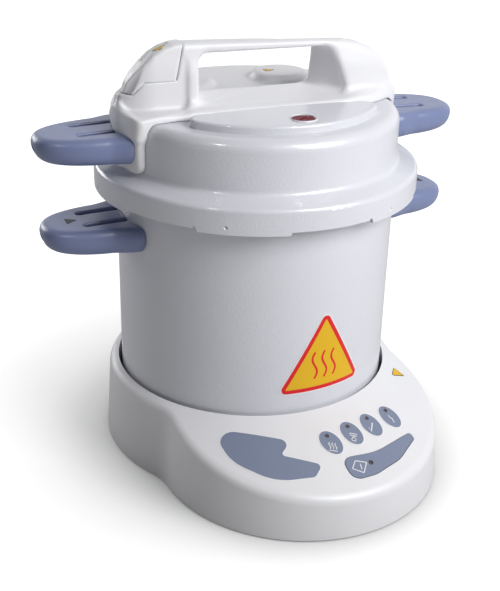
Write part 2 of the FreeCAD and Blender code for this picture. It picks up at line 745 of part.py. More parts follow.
def lid_gasket():
    ring = tube(107.0, 113.6, VESSEL_Z1 + FIT, 248.0)
    return turned(smooth(ring, 1.2, lambda e: e.Length > 100), GRIP_TURN)


# --- handle cover ---------------------------------------------------------------------------------
def fin_face():
    """Front view of the carry handle, without its window, as a face in the XZ plane."""
    left_x, base_z = -118.0, DECK_LOW_Z
    foot, shoulder = V(left_x, 0, base_z), V(left_x, 0, LEVER_Z0)
    top_left, top_right, end = V(-77, 0, FIN_TOP_Z), V(58, 0, FIN_TOP_Z), V(111, 0, base_z)
    right = Part.BSplineCurve()
    right.interpolate(Points=[top_right, V(83, 0, 333), V(99, 0, 316), V(107, 0, 300), end],
                      InitialTangent=V(1, 0, 0), FinalTangent=V(0.15, 0, -1))
    edges = [Part.makeLine(foot, shoulder), Part.makeLine(shoulder, top_left),
             Part.makeLine(top_left, top_right), right.toShape(), Part.makeLine(end, foot)]
    return Part.Face(Part.Wire(edges))


def window():
    corners = [(-58, DECK_Z, 8.0), (65, DECK_Z, 8.0), (57, 338, 8.0), (-58, 338, 8.0)]
    return front_prism(corners, -50.0, 30.0)


def fin():
    """The carry handle: an upright slab with a window, its ends following the cover's round wall."""
    block = fin_face().extrude(V(0, FIN_Y1 - FIN_Y0, 0))
    block.translate(V(0, FIN_Y0, 0))
    block = smooth(block, 5.0, lambda e: e.BoundBox.ZMax > 300 and e.BoundBox.YLength < 1)
    return block.cut(window()).common(cylinder(COVER_R, 200, 400))


def lever_space():
    """The corner of the fin that the release lever fills."""
    corners = [(-140, 316), (-112.2, 316), (-105.6, LEVER_Z0), (LEVER_X0, LEVER_Z0), (LEVER_X0, 370),
               (-140, 370)]
    return front_prism(corners, -60.0, 40.0)


def deck_plan():
    """The deck's plan: a circle cut off in front, with the right-hand corner well rounded."""
    plan = cylinder(COVER_R, 200, 400).cut(box(-200, 200, -200, COVER_FRONT_Y, 0, 500))
    return smooth(plan, CORNER_R, lambda e: e.BoundBox.ZLength > 100 and e.BoundBox.XMin > 0
                  and e.BoundBox.YMax < COVER_FRONT_Y + 1)


def deck():
    """The round deck over the lid: high in front, sloping down behind the carry handle."""
    fall = (DECK_Z - DECK_BACK_Z) / (SLOPE_Y1 - SLOPE_Y0)
    high_z = DECK_Z + 7.0
    back_y = SLOPE_Y1 + 10.0
    side = [(-60.0, DECK_LOW_Z), (-60.0, high_z), (SLOPE_Y0 - 7.0 / fall, high_z),
            (back_y, DECK_BACK_Z - 10.0 * fall), (back_y, DECK_LOW_Z)]
    points = [V(-150, y, z) for y, z in side]
    wedge = Part.Face(Part.makePolygon(points + points[:1])).extrude(V(300, 0, 0))
    front = smooth(cylinder(COVER_R, DECK_LOW_Z, DECK_Z), 6.0,
                   lambda e: e.BoundBox.ZMin > DECK_Z - 0.1)
    back = smooth(cylinder(COVER_R, DECK_LOW_Z, DECK_BACK_Z), 4.0,
                  lambda e: e.BoundBox.ZMin > DECK_BACK_Z - 0.1)
    disc = front.common(wedge).fuse(back).common(deck_plan())
    left_fall = [(-140, DECK_BACK_Z - 1), (-104, DECK_BACK_Z - 1), (-74, high_z), (-140, high_z)]
    return disc.cut(front_prism(left_fall, FIN_Y1, 100.0))


def leg(side):
    """A thin leg of the cover that hangs down the lid's wall beside a grip."""
    wall = sector(VESSEL_R + GAP, COVER_R, LEG_Z0, DECK_LOW_Z + 6.0, side + LEG_MID, LEG_WIDE)
    return smooth(wall, 7.0, lambda e: e.BoundBox.ZMax < LEG_Z0 + 0.1 and e.Length < 5)


def pocket():
    """The shallow hollow in the handle's front, under the release lever."""
    corners = [(-111, 300, 6.0), (-70, 300, 6.0), (-70, 330, 3.0), (-111, 330, 3.0)]
    return front_prism(corners, FIN_Y0 - 13.0, FIN_Y0 + LEVER_IN)


def handle_cover():
    body = deck().fuse(leg(0)).fuse(leg(180)).fuse(fin())
    for x, y, r in HUMPS:
        hump = cylinder(r, 290.0, HUMP_Z, x, y)
        body = body.fuse(smooth(hump, 5.0, lambda e: e.BoundBox.ZMin > HUMP_Z - 0.1))
    for space in (window(), lid_clearance(), lever_space(), pocket()):
        body = body.cut(space)
    body = body.fuse(lever_ears()).cut(rod(PIN_R + FIT, V(PIN_X, -40, PIN_Z), V(PIN_X, 20, PIN_Z)))
    body = body.cut(cylinder(4.6, 290.0, 330, EXHAUST_X, EXHAUST_Y))
    body = body.cut(cylinder(9.0, 280.0, LID_TOP_Z + 3.5, EXHAUST_X, EXHAUST_Y))
    mid_z = LID_GRIP_Z - GRIP_THICK / 2
    slot = box(100, 130, -TANG_HALF_Y - 0.4, TANG_HALF_Y + 0.4, mid_z - 4.0, mid_z + 3.5)
    for side in (0, 180):
        body = body.cut(turned(foot_space(LID_GRIP_Z).fuse(slot), side))
    body = body.cut(cylinder(12.5, 280, HUMP_Z - 2.5, SAFETY_X, SAFETY_Y))
    body = body.cut(box(SAFETY_X - 6, SAFETY_X + 6, SAFETY_Y, SAFETY_Y + 40, 295.6, 298.4))
    for x, y in COVER_SCREW_PLACES:
        body = body.cut(cylinder(1.6, 280, COVER_SCREW_Z + 0.5, x, y))
    return turned(body.removeSplitter(), GRIP_TURN)


def lid_clearance():
    """The room that the lid takes under the handle cover."""
    r = VESSEL_R + GAP
    dome = revolve([(0, 200), (r, 200), (r, LID_TOP_Z + GAP, SHOULDER_R), (0, LID_TOP_Z + GAP)])
    raised = cylinder(PLATEAU_R + GAP, LID_TOP_Z - 1, CROWN_Z + GAP)
    return dome.fuse(raised.cut(box(-200, 200, PLATEAU_BACK_Y + 1, 200, 0, 400)))


def lever_ears():
    """A tongue inside the lever that carries its pin."""
    web = box(-82, LEVER_X0 + 1, EAR_Y0, EAR_Y1, LEVER_Z0 - 2, PIN_Z)
    return web.fuse(rod(2.5, V(PIN_X, EAR_Y0, PIN_Z), V(PIN_X, EAR_Y1, PIN_Z)))


def lever_block(drop=0.0):
    """The lever's outer shape, or with a drop the same shape with a lower top."""
    curve = Part.BSplineCurve()
    curve.interpolate(Points=[V(x, 0, z - drop) for x, z in LEVER_TOP])
    x, z = LEVER_TOP[-1]
    base = Part.makePolygon([V(x, 0, z - drop), V(-112.6, 0, z - drop), V(-106, 0, 322.6 - drop),
                             V(-76.6, 0, 322.6 - drop), V(LEVER_TOP[0][0], 0, LEVER_TOP[0][1] - drop)])
    wire = Part.Wire(Part.sortEdges([curve.toShape()] + base.Edges)[0])
    block = Part.Face(wire).extrude(V(0, FIN_Y1 - FIN_Y0 - LEVER_IN, 0))
    block.translate(V(0, FIN_Y0 + LEVER_IN, 0))
    return block.common(cylinder(COVER_R + 1, 200, 400))


def lever_prism(grow=0.0):
    wire = outline([(-97, -18), (-87, -14), (-97, -10)], grow)
    wire.translate(V(0, 0, 330))
    return Part.Face(wire).extrude(V(0, 0, 30))


def release_lever():
    lever = lever_block()
    lever = smooth(lever, 2.5, lambda e: e.BoundBox.YLength < 0.01 and e.BoundBox.ZMax > 324
                   and e.BoundBox.XLength > 1)
    hollow = [(-60, 300), (-60, 344), (-78, 344), (-88, 341.2), (-101, 332.5), (-106, 328), (-106, 300)]
    lever = lever.cut(front_prism(hollow, EAR_Y0 - 1, EAR_Y1 + 1))
    hook = box(-103, -89, EAR_Y0 - 1.5, EAR_Y1 + 1.5, 324, 326.5)
    hook = hook.cut(box(-100.6, -91.8, EXHAUST_Y - 2.6, EXHAUST_Y + 2.6, 320, 330))
    lever = lever.fuse(hook)
    lever = lever.cut(rod(PIN_R + FIT, V(PIN_X, -40, PIN_Z), V(PIN_X, 20, PIN_Z)))
    lever = lever.cut(lever_prism(FIT).cut(lever_block(0.5 + FIT)))
    return turned(lever.removeSplitter(), GRIP_TURN)


def lever_mark():
    """A small plain triangle set in the lever's top."""
    return turned(lever_prism().common(lever_block()).cut(lever_block(0.5)), GRIP_TURN)


def lever_pin():
    return turned(rod(PIN_R, V(PIN_X, -23.5, PIN_Z), V(PIN_X, -8.0, PIN_Z)), GRIP_TURN)


def exhaust_seat():
    """A brass bush in the lid that the steam leaves through."""
    bush = tube(2.6, 6.0, LID_TOP_Z - LID_WALL - 3, LID_TOP_Z + 3.0, EXHAUST_X, EXHAUST_Y)
    bush = bush.fuse(tube(2.6, 8.5, LID_TOP_Z + FIT, LID_TOP_Z + 3.0, EXHAUST_X, EXHAUST_Y))
    return turned(bush, GRIP_TURN)


def exhaust_stem():
    """The valve that the lever lifts off the seat."""
    stem = cylinder(2.2, LID_TOP_Z - LID_WALL - 2, 328.0, EXHAUST_X, EXHAUST_Y)
    cap = cylinder(4.2, LID_TOP_Z + 3.0 + FIT, LID_TOP_Z + 6.0, EXHAUST_X, EXHAUST_Y)
    head = cylinder(3.4, 327.3, 329.3, EXHAUST_X, EXHAUST_Y)
    return turned(stem.fuse(cap).fuse(head), GRIP_TURN)


def pressure_indicator():
    """A red slotted pin that steam pressure lifts out of the lid."""
    top = CROWN_Z - 1.6
    pin = cylinder(8.0, top - 3.0, top, INDICATOR_X, INDICATOR_Y)
    pin = smooth(pin, 0.8, lambda e: e.BoundBox.ZMin > top - 0.1)
    pin = pin.fuse(cylinder(4.0, 281.0, top - 2.0, INDICATOR_X, INDICATOR_Y))
    pin = pin.fuse(cylinder(6.0, 279.0, 281.0, INDICATOR_X, INDICATOR_Y))
    slot = box(-9, 9, -0.7, 0.7, top - 0.8, top + 1)
    slot.rotate(CENTRE, UP, 40.0)
    slot.translate(V(INDICATOR_X, INDICATOR_Y, 0))
    return turned(pin.cut(slot), GRIP_TURN)


def indicator_grommet():
    """The pale bush in the lid that guides the indicator."""
    top = CROWN_Z - 0.7
    ring = tube(8.0 + GAP, 10.2, top - 4.2, top, INDICATOR_X, INDICATOR_Y)
    ring = ring.fuse(tube(8.0 + GAP, 12.0, CROWN_Z - 1.0, top, INDICATOR_X, INDICATOR_Y))
    base = tube(4.0 + FIT, 10.2, 286.0, top - 4.0, INDICATOR_X, INDICATOR_Y)
    return turned(ring.fuse(base), GRIP_TURN)


def safety_valve():
    """A spring-loaded relief valve that stands in the left hump."""
    body = cylinder(8.0, LID_TOP_Z - LID_WALL - 4, LID_TOP_Z + 2, SAFETY_X, SAFETY_Y)
    body = body.fuse(cylinder(10.0, LID_TOP_Z + FIT, LID_TOP_Z + 4, SAFETY_X, SAFETY_Y))
    body = body.fuse(cylinder(6.0, LID_TOP_Z + 3, LID_TOP_Z + 6, SAFETY_X, SAFETY_Y))
    return turned(body, GRIP_TURN)


def cover_screws():
    screws = []
    for x, y in COVER_SCREW_PLACES:
        head = cylinder(4.0, LID_TOP_Z - LID_WALL - 3.0, LID_TOP_Z - LID_WALL - FIT, x, y)
        screws.append(head.fuse(cylinder(1.5, LID_TOP_Z - LID_WALL - 1, COVER_SCREW_Z, x, y)))
    return turned(group(screws), GRIP_TURN)


def vessel_grip_right():
    return turned(grip(VESSEL_GRIP_Z, VESSEL_TIP_X, True), GRIP_TURN)


def vessel_grip_left():
    return turned(grip(VESSEL_GRIP_Z, VESSEL_TIP_X, True), GRIP_TURN + 180.0)


def lid_grip_right():
    return turned(lid_grip(LID_GRIP_Z, LID_TIP_X), GRIP_TURN)


def lid_grip_left():
    return turned(lid_grip(LID_GRIP_Z, LID_TIP_X), GRIP_TURN + 180.0)


def vessel_brackets():
    return group(pair(bracket(VESSEL_GRIP_Z)))


def lid_brackets():
    return group(pair(bracket(LID_GRIP_Z)))


def vessel_grip_screws():
    return group(pair(grip_screw(VESSEL_GRIP_Z, VESSEL_TIP_X)))


def lid_grip_screws():
    return group(pair(grip_screw(LID_GRIP_Z, LID_TIP_X)))


# --- labels -------------------------------------------------------------------------------------
def heat_label():
    """A plain triangular label wrapped on the vessel."""
    half = LABEL_SIDE / 2
    high = LABEL_SIDE * math.sin(math.radians(60))
    points = [V(-half, 0, 0), V(half, 0, 0), V(0, 0, high)]
    block = Part.Face(Part.makePolygon(points + points[:1])).extrude(V(0, -VESSEL_R - 10, 0))
    block = smooth(block, LABEL_ROUND, lambda e: e.BoundBox.YLength > VESSEL_R)
    block.translate(V(0, 0, LABEL_Z))
    skin = tube(VESSEL_R + 0.02, VESSEL_R + 0.02 + LABEL_THICK, LABEL_Z - 5, LABEL_Z + high + 5)
    return turned(skin.common(block), GRIP_TURN + LABEL_MIDDLE + 90.0)


def base_label():
    """A small plain triangle on the base's rim, to the right of the vessel."""
    points = [V(-5, -5.5, 0), V(5, -5.5, 0), V(0, 5.5, 0)]
    block = Part.Face(Part.makePolygon(points + points[:1])).extrude(V(0, 0, 100))
    block.rotate(CENTRE, UP, 35.0)
    block.translate(BASE_LABEL)
    return block.common(below_cone(FIT + 0.2)).cut(below_cone(FIT))


def hump_mark():
    """A small plain triangle on the right-hand hump."""
    x, y, z = HUMPS[0][0], HUMPS[0][1], HUMP_Z + FIT
    points = [V(x - 14, y - 3, z), V(x - 14, y + 5, z), V(x - 5, y + 1, z)]
    mark = Part.Face(Part.makePolygon(points + points[:1])).extrude(V(0, 0, 0.2))
    return turned(mark, GRIP_TURN)


NODES = {
    "base_cover": base_cover,
    "base_plate": base_plate,
    "feet": feet,
    "plate_screws": plate_screws,
    "vessel_pillars": vessel_pillars,
    "pillar_screws": pillar_screws,
    "heater_element": heater_element,
    "heater_clamp": heater_clamp,
    "insulation_pad": insulation_pad,
    "thermostat": thermostat,
    "thermal_cutout": thermal_cutout,
    "control_board": control_board,
    "board_posts": board_posts,
    "indicator_lenses": indicator_lenses,
    "start_switch": start_switch,
    "start_key": start_key,
    "indicator_labels": indicator_labels,
    "name_panel": name_panel,
    "mains_inlet": mains_inlet,
    "inlet_screws": inlet_screws,
    "wiring": wiring,
    "vessel": vessel,
    "trivet": trivet,
    "lid_shell": lid_shell,
    "lid_gasket": lid_gasket,
    "handle_cover": handle_cover,
    "release_lever": release_lever,
    "lever_pin": lever_pin,
    "exhaust_seat": exhaust_seat,
    "exhaust_stem": exhaust_stem,
    "pressure_indicator": pressure_indicator,
    "indicator_grommet": indicator_grommet,
    "safety_valve": safety_valve,
    "cover_screws": cover_screws,
    "vessel_grip_left": vessel_grip_left,
    "vessel_grip_right": vessel_grip_right,
    "lid_grip_left": lid_grip_left,
    "lid_grip_right": lid_grip_right,
    "vessel_brackets": vessel_brackets,
    "lid_brackets": lid_brackets,
    "vessel_grip_screws": vessel_grip_screws,
    "lid_grip_screws": lid_grip_screws,
    "arrow_marks": arrow_marks,
    "heat_label": heat_label,
    "base_label": base_label,
    "hump_mark": hump_mark,
    "lever_mark": lever_mark,
}


def main():
    os.makedirs("parts", exist_ok=True)
    for name, make in NODES.items():
        shape = make()
        print(name, shape.isValid(), len(shape.Solids), round(shape.Volume))
        shape.exportStep("parts/" + name + ".step")


main()
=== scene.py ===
"""Looks of a portable bench-top steam steriliser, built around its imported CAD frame.

Blender units are metres. Shapes are worked out in millimetres, in a frame whose x runs along the grips.
"""
import json
import math

import bmesh
import bpy
import numpy as np
from mathutils import Matrix, Vector


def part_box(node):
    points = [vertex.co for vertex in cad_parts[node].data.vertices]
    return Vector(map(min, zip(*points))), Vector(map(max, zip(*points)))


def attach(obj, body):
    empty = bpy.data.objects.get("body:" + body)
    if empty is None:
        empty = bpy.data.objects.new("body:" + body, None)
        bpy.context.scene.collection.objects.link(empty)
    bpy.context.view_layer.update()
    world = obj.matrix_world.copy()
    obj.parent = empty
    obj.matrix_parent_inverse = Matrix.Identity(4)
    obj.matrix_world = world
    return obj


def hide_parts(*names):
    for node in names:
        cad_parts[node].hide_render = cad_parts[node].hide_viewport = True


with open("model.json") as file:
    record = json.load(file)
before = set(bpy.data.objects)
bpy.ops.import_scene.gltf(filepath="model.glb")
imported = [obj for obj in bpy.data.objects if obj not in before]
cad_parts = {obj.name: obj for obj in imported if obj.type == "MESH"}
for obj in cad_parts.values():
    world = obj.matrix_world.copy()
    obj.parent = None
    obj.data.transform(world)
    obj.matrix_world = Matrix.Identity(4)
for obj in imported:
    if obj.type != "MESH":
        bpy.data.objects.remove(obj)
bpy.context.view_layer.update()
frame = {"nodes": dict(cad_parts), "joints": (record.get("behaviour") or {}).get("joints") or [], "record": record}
MM = 0.001


# --- materials ----------------------------------------------------------------------------------
def new_material(name):
    """A node material whose Principled shader and coordinates are ready to be wired."""
    material = bpy.data.materials.new(name)
    material.use_nodes = True
    tree = material.node_tree
    shader = tree.nodes["Principled BSDF"]
    coords = tree.nodes.new("ShaderNodeTexCoord")
    return material, tree, shader, coords.outputs["Object"]


def noise(tree, where, size, detail=2.0):
    """A noise texture whose features are about size metres across."""
    node = tree.nodes.new("ShaderNodeTexNoise")
    node.inputs["Scale"].default_value = 1.0 / size
    node.inputs["Detail"].default_value = detail
    tree.links.new(where, node.inputs["Vector"])
    return node.outputs["Fac"]


def ramp(tree, value, low, high, at_low=0.0, at_high=1.0):
    """value rescaled so that low becomes at_low and high becomes at_high."""
    node = tree.nodes.new("ShaderNodeMapRange")
    node.inputs["From Min"].default_value = low
    node.inputs["From Max"].default_value = high
    node.inputs["To Min"].default_value = at_low
    node.inputs["To Max"].default_value = at_high
    tree.links.new(value, node.inputs["Value"])
    return node.outputs["Result"]


def mix_colour(tree, factor, a, b):
    """Colour a where factor is 0, and colour b where it is 1."""
    node = tree.nodes.new("ShaderNodeMix")
    node.data_type = "RGBA"
    for socket, value in zip((s for s in node.inputs if s.type == "RGBA"), (a, b)):
        socket.default_value = (*value, 1.0)
    tree.links.new(factor, next(s for s in node.inputs if s.name == "Factor" and s.type == "VALUE"))
    return next(s for s in node.outputs if s.type == "RGBA")


def calculated(tree, operation, a, b):
    """Two values put together by a math node."""
    node = tree.nodes.new("ShaderNodeMath")
    node.operation = operation
    tree.links.new(a, node.inputs[0])
    tree.links.new(b, node.inputs[1])
    return node.outputs["Value"]


def bump(tree, shader, height, depth, below=None):
    """A bump of depth metres on the shader, on top of the bump below if one is given."""
    node = tree.nodes.new("ShaderNodeBump")
    node.inputs["Distance"].default_value = depth
    node.inputs["Strength"].default_value = 1.0
    tree.links.new(height, node.inputs["Height"])
    if below is not None:
        tree.links.new(below, node.inputs["Normal"])
    tree.links.new(node.outputs["Normal"], shader.inputs["Normal"])
    return node.outputs["Normal"]


def surface(name, colour, roughness, grain, mottle, specular=0.5, coat=0.0, sheen=0.0, gloss=0.2):
    """A solid material: slight colour and roughness variation, and a grain of (size, depth) pairs."""
    material, tree, shader, where = new_material(name)
    broad = noise(tree, where, 0.03, 3.0)
    darker = [c * (1.0 - mottle) for c in colour]
    lighter = [min(1.0, c * (1.0 + mottle)) for c in colour]
    tree.links.new(mix_colour(tree, broad, darker, lighter), shader.inputs["Base Color"])
    rough = ramp(tree, noise(tree, where, 0.008, 2.0), 0.3, 0.7, roughness * 0.92, roughness * 1.08)
    tree.links.new(rough, shader.inputs["Roughness"])
    shader.inputs["Specular IOR Level"].default_value = specular
    shader.inputs["Coat Weight"].default_value = coat
    shader.inputs["Coat Roughness"].default_value = gloss
    shader.inputs["Sheen Weight"].default_value = sheen
    below = None
    for size, depth in grain:
        below = bump(tree, shader, noise(tree, where, size, 1.5), depth, below=below)
    return material


def brushed(name, colour, roughness):
    """Metal with fine streaks around the vertical axis."""
    material, tree, shader, where = new_material(name)
    stretch = tree.nodes.new("ShaderNodeMapping")
    stretch.inputs["Scale"].default_value = (1.0, 1.0, 18.0)
    tree.links.new(where, stretch.inputs["Vector"])
    streaks = noise(tree, stretch.outputs["Vector"], 0.004, 3.0)
    shader.inputs["Base Color"].default_value = (*colour, 1.0)
    shader.inputs["Metallic"].default_value = 1.0
    tree.links.new(ramp(tree, streaks, 0.3, 0.7, roughness * 0.8, roughness * 1.25),
                   shader.inputs["Roughness"])
    bump(tree, shader, streaks, 0.00002)
    return material


POWDER_GRAIN = [(0.0018, 0.00016), (0.0006, 0.00003)]
PLASTIC_GRAIN = [(0.0007, 0.00003)]
SATIN_GRAIN = [(0.0011, 0.00004)]

MATERIALS = {
    "painted_shell": surface("powder_coat", (0.67, 0.675, 0.725), 0.4, POWDER_GRAIN, 0.012, coat=0.5,
                             gloss=0.1),
    "white_plastic": surface("white_plastic", (0.75, 0.75, 0.775), 0.42, PLASTIC_GRAIN, 0.012),
    "grip_blue": surface("grip_blue", (0.185, 0.222, 0.385), 0.36, SATIN_GRAIN, 0.03),
    "panel_blue": surface("panel_film", (0.195, 0.232, 0.33), 0.33, [(0.0009, 0.00001)], 0.02),
    "red_plastic": surface("red_plastic", (0.15, 0.008, 0.018), 0.5, [(0.002, 0.00002)], 0.05,
                           specular=0.2),
    "red_label": surface("red_label", (0.7, 0.002, 0.006), 0.45, [(0.0012, 0.00001)], 0.02),
    "yellow_label": surface("yellow_label", (0.75, 0.44, 0.0), 0.5, [(0.0012, 0.00001)], 0.02),
    "dark_mark": surface("dark_mark", (0.02, 0.02, 0.026), 0.55, [(0.0008, 0.00002)], 0.1),
    "steel": brushed("steel", (0.62, 0.62, 0.63), 0.3),
    "plain_aluminium": brushed("aluminium", (0.75, 0.76, 0.78), 0.35),
    "brass": brushed("brass", (0.72, 0.55, 0.25), 0.28),
    "dark_rubber": surface("dark_rubber", (0.03, 0.03, 0.033), 0.7, [(0.0008, 0.00005)], 0.1),
    "silicone": surface("silicone", (0.72, 0.72, 0.74), 0.4, [(0.0015, 0.00002)], 0.02),
    "black_plastic": surface("black_plastic", (0.02, 0.02, 0.022), 0.4, [(0.0006, 0.00002)], 0.1),
    "board": surface("board", (0.02, 0.16, 0.07), 0.3, [(0.0015, 0.00002)], 0.1, coat=0.3),
    "lens": surface("lens", (0.09, 0.055, 0.045), 0.15, [(0.002, 0.00001)], 0.05, coat=0.6),
    "fibre": surface("fibre", (0.80, 0.77, 0.70), 0.9, [(0.001, 0.0002)], 0.08, sheen=0.3),
    "pale_print": surface("pale_print", (0.78, 0.78, 0.8), 0.45, [(0.0008, 0.00001)], 0.01),
    "cable": surface("cable", (0.06, 0.06, 0.068), 0.45, [(0.001, 0.00003)], 0.1),
}
RECORD_SLOTS = {"pale_print": "white_plastic", "red_label": "red_plastic"}     # nearest listed finish


def dress(obj, finish):
    """Give obj one of the materials."""
    obj.data.materials.clear()
    obj.data.materials.append(MATERIALS[finish])


for part in frame["record"]["subparts"]:
    dress(frame["nodes"][part["node"]], part["material_slot"])


# --- shapes as distance fields, in millimetres with the grips along x ---------------------------
def smooth_max(a, b, k):
    """The larger of two distances, with the edge between them rounded over about k."""
    h = np.clip(0.5 + 0.5 * (a - b) / k, 0.0, 1.0)
    return b * (1.0 - h) + a * h + k * h * (1.0 - h)


def smooth_min(a, b, k):
    """The smaller of two distances, with the corner between them filled over about k."""
    return -smooth_max(-a, -b, k)


def cut(body, hole, k=0.6):
    """body with hole taken out of it, its edge rounded over about k."""
    return smooth_max(body, -hole, k)


def step(value, start, end):
    """0 before start, 1 after end, and a smooth rise between them."""
    t = np.clip((value - start) / (end - start), 0.0, 1.0)
    return t * t * (3.0 - 2.0 * t)


def polygon(corners, x, y):
    """Signed distance from (x, y) to a closed polygon: negative inside."""
    nearest = np.full(np.shape(x), 1e9)
    inside = np.zeros(np.shape(x), dtype=bool)
    for (ax, ay), (bx, by) in zip(corners, corners[1:] + corners[:1]):
        ex, ey = bx - ax, by - ay
        px, py = x - ax, y - ay
        t = np.clip((px * ex + py * ey) / (ex * ex + ey * ey), 0.0, 1.0)
        nearest = np.minimum(nearest, (px - t * ex) ** 2 + (py - t * ey) ** 2)
        if ey:
            inside ^= ((ay > y) != (by > y)) & (x < ax + ex * (y - ay) / ey)
    return np.where(inside, -1.0, 1.0) * np.sqrt(nearest)


def upright(x, y, z, place, radius, z0, z1):
    """An upright cylinder."""
    return np.maximum(np.hypot(x - place[0], y - place[1]) - radius, np.maximum(z0 - z, z - z1))


def block(x, y, z, low, high):
    """A box given by two opposite corners."""
    sides = [np.maximum(a - v, v - b) for v, a, b in zip((x, y, z), low, high)]
    return np.maximum(np.maximum(sides[0], sides[1]), sides[2])


GRID_LEAD = 1.863          # grid steps before the low corner, set so that no flat face is on the grid
GRID_TAIL = 3
PULLS = 3


def surface_net(field, low, high, size):
    """Points and quads of the surface where field is zero, from a grid of the given size."""
    axes = [np.arange(a - GRID_LEAD * size, b + GRID_TAIL * size, size) for a, b in zip(low, high)]
    values = field(*np.meshgrid(*axes, indexing="ij"))
    shape = np.array(values.shape)
    cells, spots, flips = [], [], []
    for axis in range(3):
        ahead = np.roll(values, -1, axis)
        crossing = (values < 0) != (ahead < 0)
        np.moveaxis(crossing, axis, 0)[-1] = False
        at = np.argwhere(crossing)
        here, there = values[crossing], ahead[crossing]
        spot = at.astype(float)
        spot[:, axis] += here / (here - there)
        u, v = np.eye(3, dtype=int)[(axis + 1) % 3], np.eye(3, dtype=int)[(axis + 2) % 3]
        around = np.stack([at, at - u, at - u - v, at - v], 1)
        cells.append(around)
        spots.append(np.repeat(spot[:, None], 4, 1))
        flips.append(here > 0)
    cells, spots, flips = np.concatenate(cells), np.concatenate(spots), np.concatenate(flips)
    number = np.ravel_multi_index(cells.reshape(-1, 3).T, shape)
    _, which = np.unique(number, return_inverse=True)
    which = which.ravel()
    count = np.bincount(which)
    points = np.stack([np.bincount(which, spots.reshape(-1, 3)[:, k]) / count for k in range(3)], 1)
    points = points * size + np.array([a[0] for a in axes])
    quads = which.reshape(-1, 4)
    quads[flips] = quads[flips, ::-1]
    for _ in range(PULLS):
        points = pulled_onto(field, points, size)
    return points, quads


def pulled_onto(field, points, size):
    """The points moved along the field's slope onto its surface, by less than half a grid step."""
    reach = 0.05 * size
    furthest = 0.4 * size
    value = field(*points.T)
    slope = np.stack([(field(*(points + reach * e).T) - field(*(points - reach * e).T)) / (2 * reach)
                      for e in np.eye(3)], 1)
    move = -value[:, None] * slope / np.maximum((slope ** 2).sum(1), 0.2)[:, None]
    return points + np.clip(move, -furthest, furthest)


LEVER_AXIS = next(j for j in frame["joints"] if j["name"] == "lever_lift")["axis"]
GRIP_TURN = -math.atan2(LEVER_AXIS[0], LEVER_AXIS[1])


def turned(x, y, angle):
    """Plan positions turned about the origin."""
    c, s = math.cos(angle), math.sin(angle)
    return c * x - s * y, s * x + c * y


def to_grips(x, y):
    """World plan positions to the frame in which the grips lie along x."""
    return turned(x, y, -GRIP_TURN)


def middle(node):
    """Middle of a CAD node in millimetres, in the frame in which the grips lie along x."""
    x, y, z = ((a + b) / 2 / MM for a, b in zip(*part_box(node)))
    return [round(float(v), 1) for v in (*to_grips(x, y), z)]


def make_piece(name, points, faces, body, finish, nodes=(), smooth=True):
    """A mesh piece from points in millimetres, riding on a body and standing for CAD nodes."""
    x, y, z = points.T
    points = np.stack([*turned(x, y, GRIP_TURN), z], 1)
    mesh = bpy.data.meshes.new(name)
    mesh.from_pydata((points * MM).tolist(), [], [list(map(int, f)) for f in faces])
    mesh.polygons.foreach_set("use_smooth", [smooth] * len(mesh.polygons))
    mesh.update()
    piece = bpy.data.objects.new(name, mesh)
    bpy.context.scene.collection.objects.link(piece)
    dress(piece, finish)
    RECORD_SLOTS.get(finish, finish)
    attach(piece, body)
    if nodes:
        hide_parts(*nodes)
    return piece


def carved_piece(name, field, low, high, size, body, finish, nodes):
    """A smooth piece whose surface is where field is zero, between two corners of a box."""
    points, quads = surface_net(field, low, high, size)
    return make_piece(name, points, quads, body, finish, nodes)


# --- handle cover ---------------------------------------------------------------------------------
PLAY = 0.3
VESSEL_R = 114.0
LID_TOP_Z = 291.5
DOME_ROUND = 9.0
PLATEAU_R = 97.0
PLATEAU_Z = 299.5
PLATEAU_CROWN = 2.0
PLATEAU_EDGE_Y = -45.0
FLANGE_Z = 251.2
FLANGE_ROUND = 5.0
COVER_R = 118.0
COVER_SHIFT = 9.0          # the round wall is set forward at its front left, and backward on its right
COVER_FRONT_Y = -40.0
DECK_LOW_Z = 284.0
DECK_Z = 303.0
FIN_FRONT_Y = -27.0
FIN_BACK_Y = -5.0
FIN_THINNING = 3.5         # towards the handle's top, in front
FIN_THICKENING = 9.0       # towards the handle's right end, behind
LEG_Z0 = 252.6
LEG_Z1 = 296.0
LEG_MIDDLE = 7.25          # degrees from the grips' axis
LEG_HALF = 28.8
LEG_ROUND = 14.0
HUMPS = [(46.0, 58.0, 25.0, 301.5), (-43.0, 61.0, 27.0, 299.6)]     # x, y, radius, top
FIN_OUTLINE = [(-122.0, 280.0), (-122.0, 330.0), (-90.0, 345.4), (-60.0, 345.2), (62.0, 341.2),
               (76.0, 338.8), (90.0, 333.0), (100.0, 325.5), (106.5, 316.5), (110.0, 308.5),
               (112.3, 300.0), (113.3, 292.0), (113.5, 280.0)]
WINDOW_CORE = [(-50.0, 307.0), (56.5, 303.0), (46.5, 328.5), (-50.0, 328.5)]
WINDOW_ROUND = 8.0
LEVER_GAP = [(-76.0, 318.2), (-100.7, 318.2), (-108.5, 308.9), (-150.0, 308.9), (-150.0, 380.0),
             (-62.0, 380.0)]
FINGER_RECESS = [(-110.0, 304.0), (-75.0, 304.0), (-75.0, 330.0), (-110.0, 330.0)]
FINGER_ROUND = 6.5
FINGER_DEPTH = 2.2
PIN_X, _, PIN_Z = middle("lever_pin")
PIN_BOSS_R = 2.5
PIN_BOSS_Y = (-20.0, -12.0)
EXHAUST = middle("exhaust_stem")[:2]
EXHAUST_BORES = [(3.2, 290.0, 330.0), (4.6, 290.0, 303.5), (9.0, 280.0, LID_TOP_Z + 3.5)]
SAFETY = middle("safety_valve")[:2]
SAFETY_BORE = (12.5, 280.0, HUMPS[1][3] - 1.4)
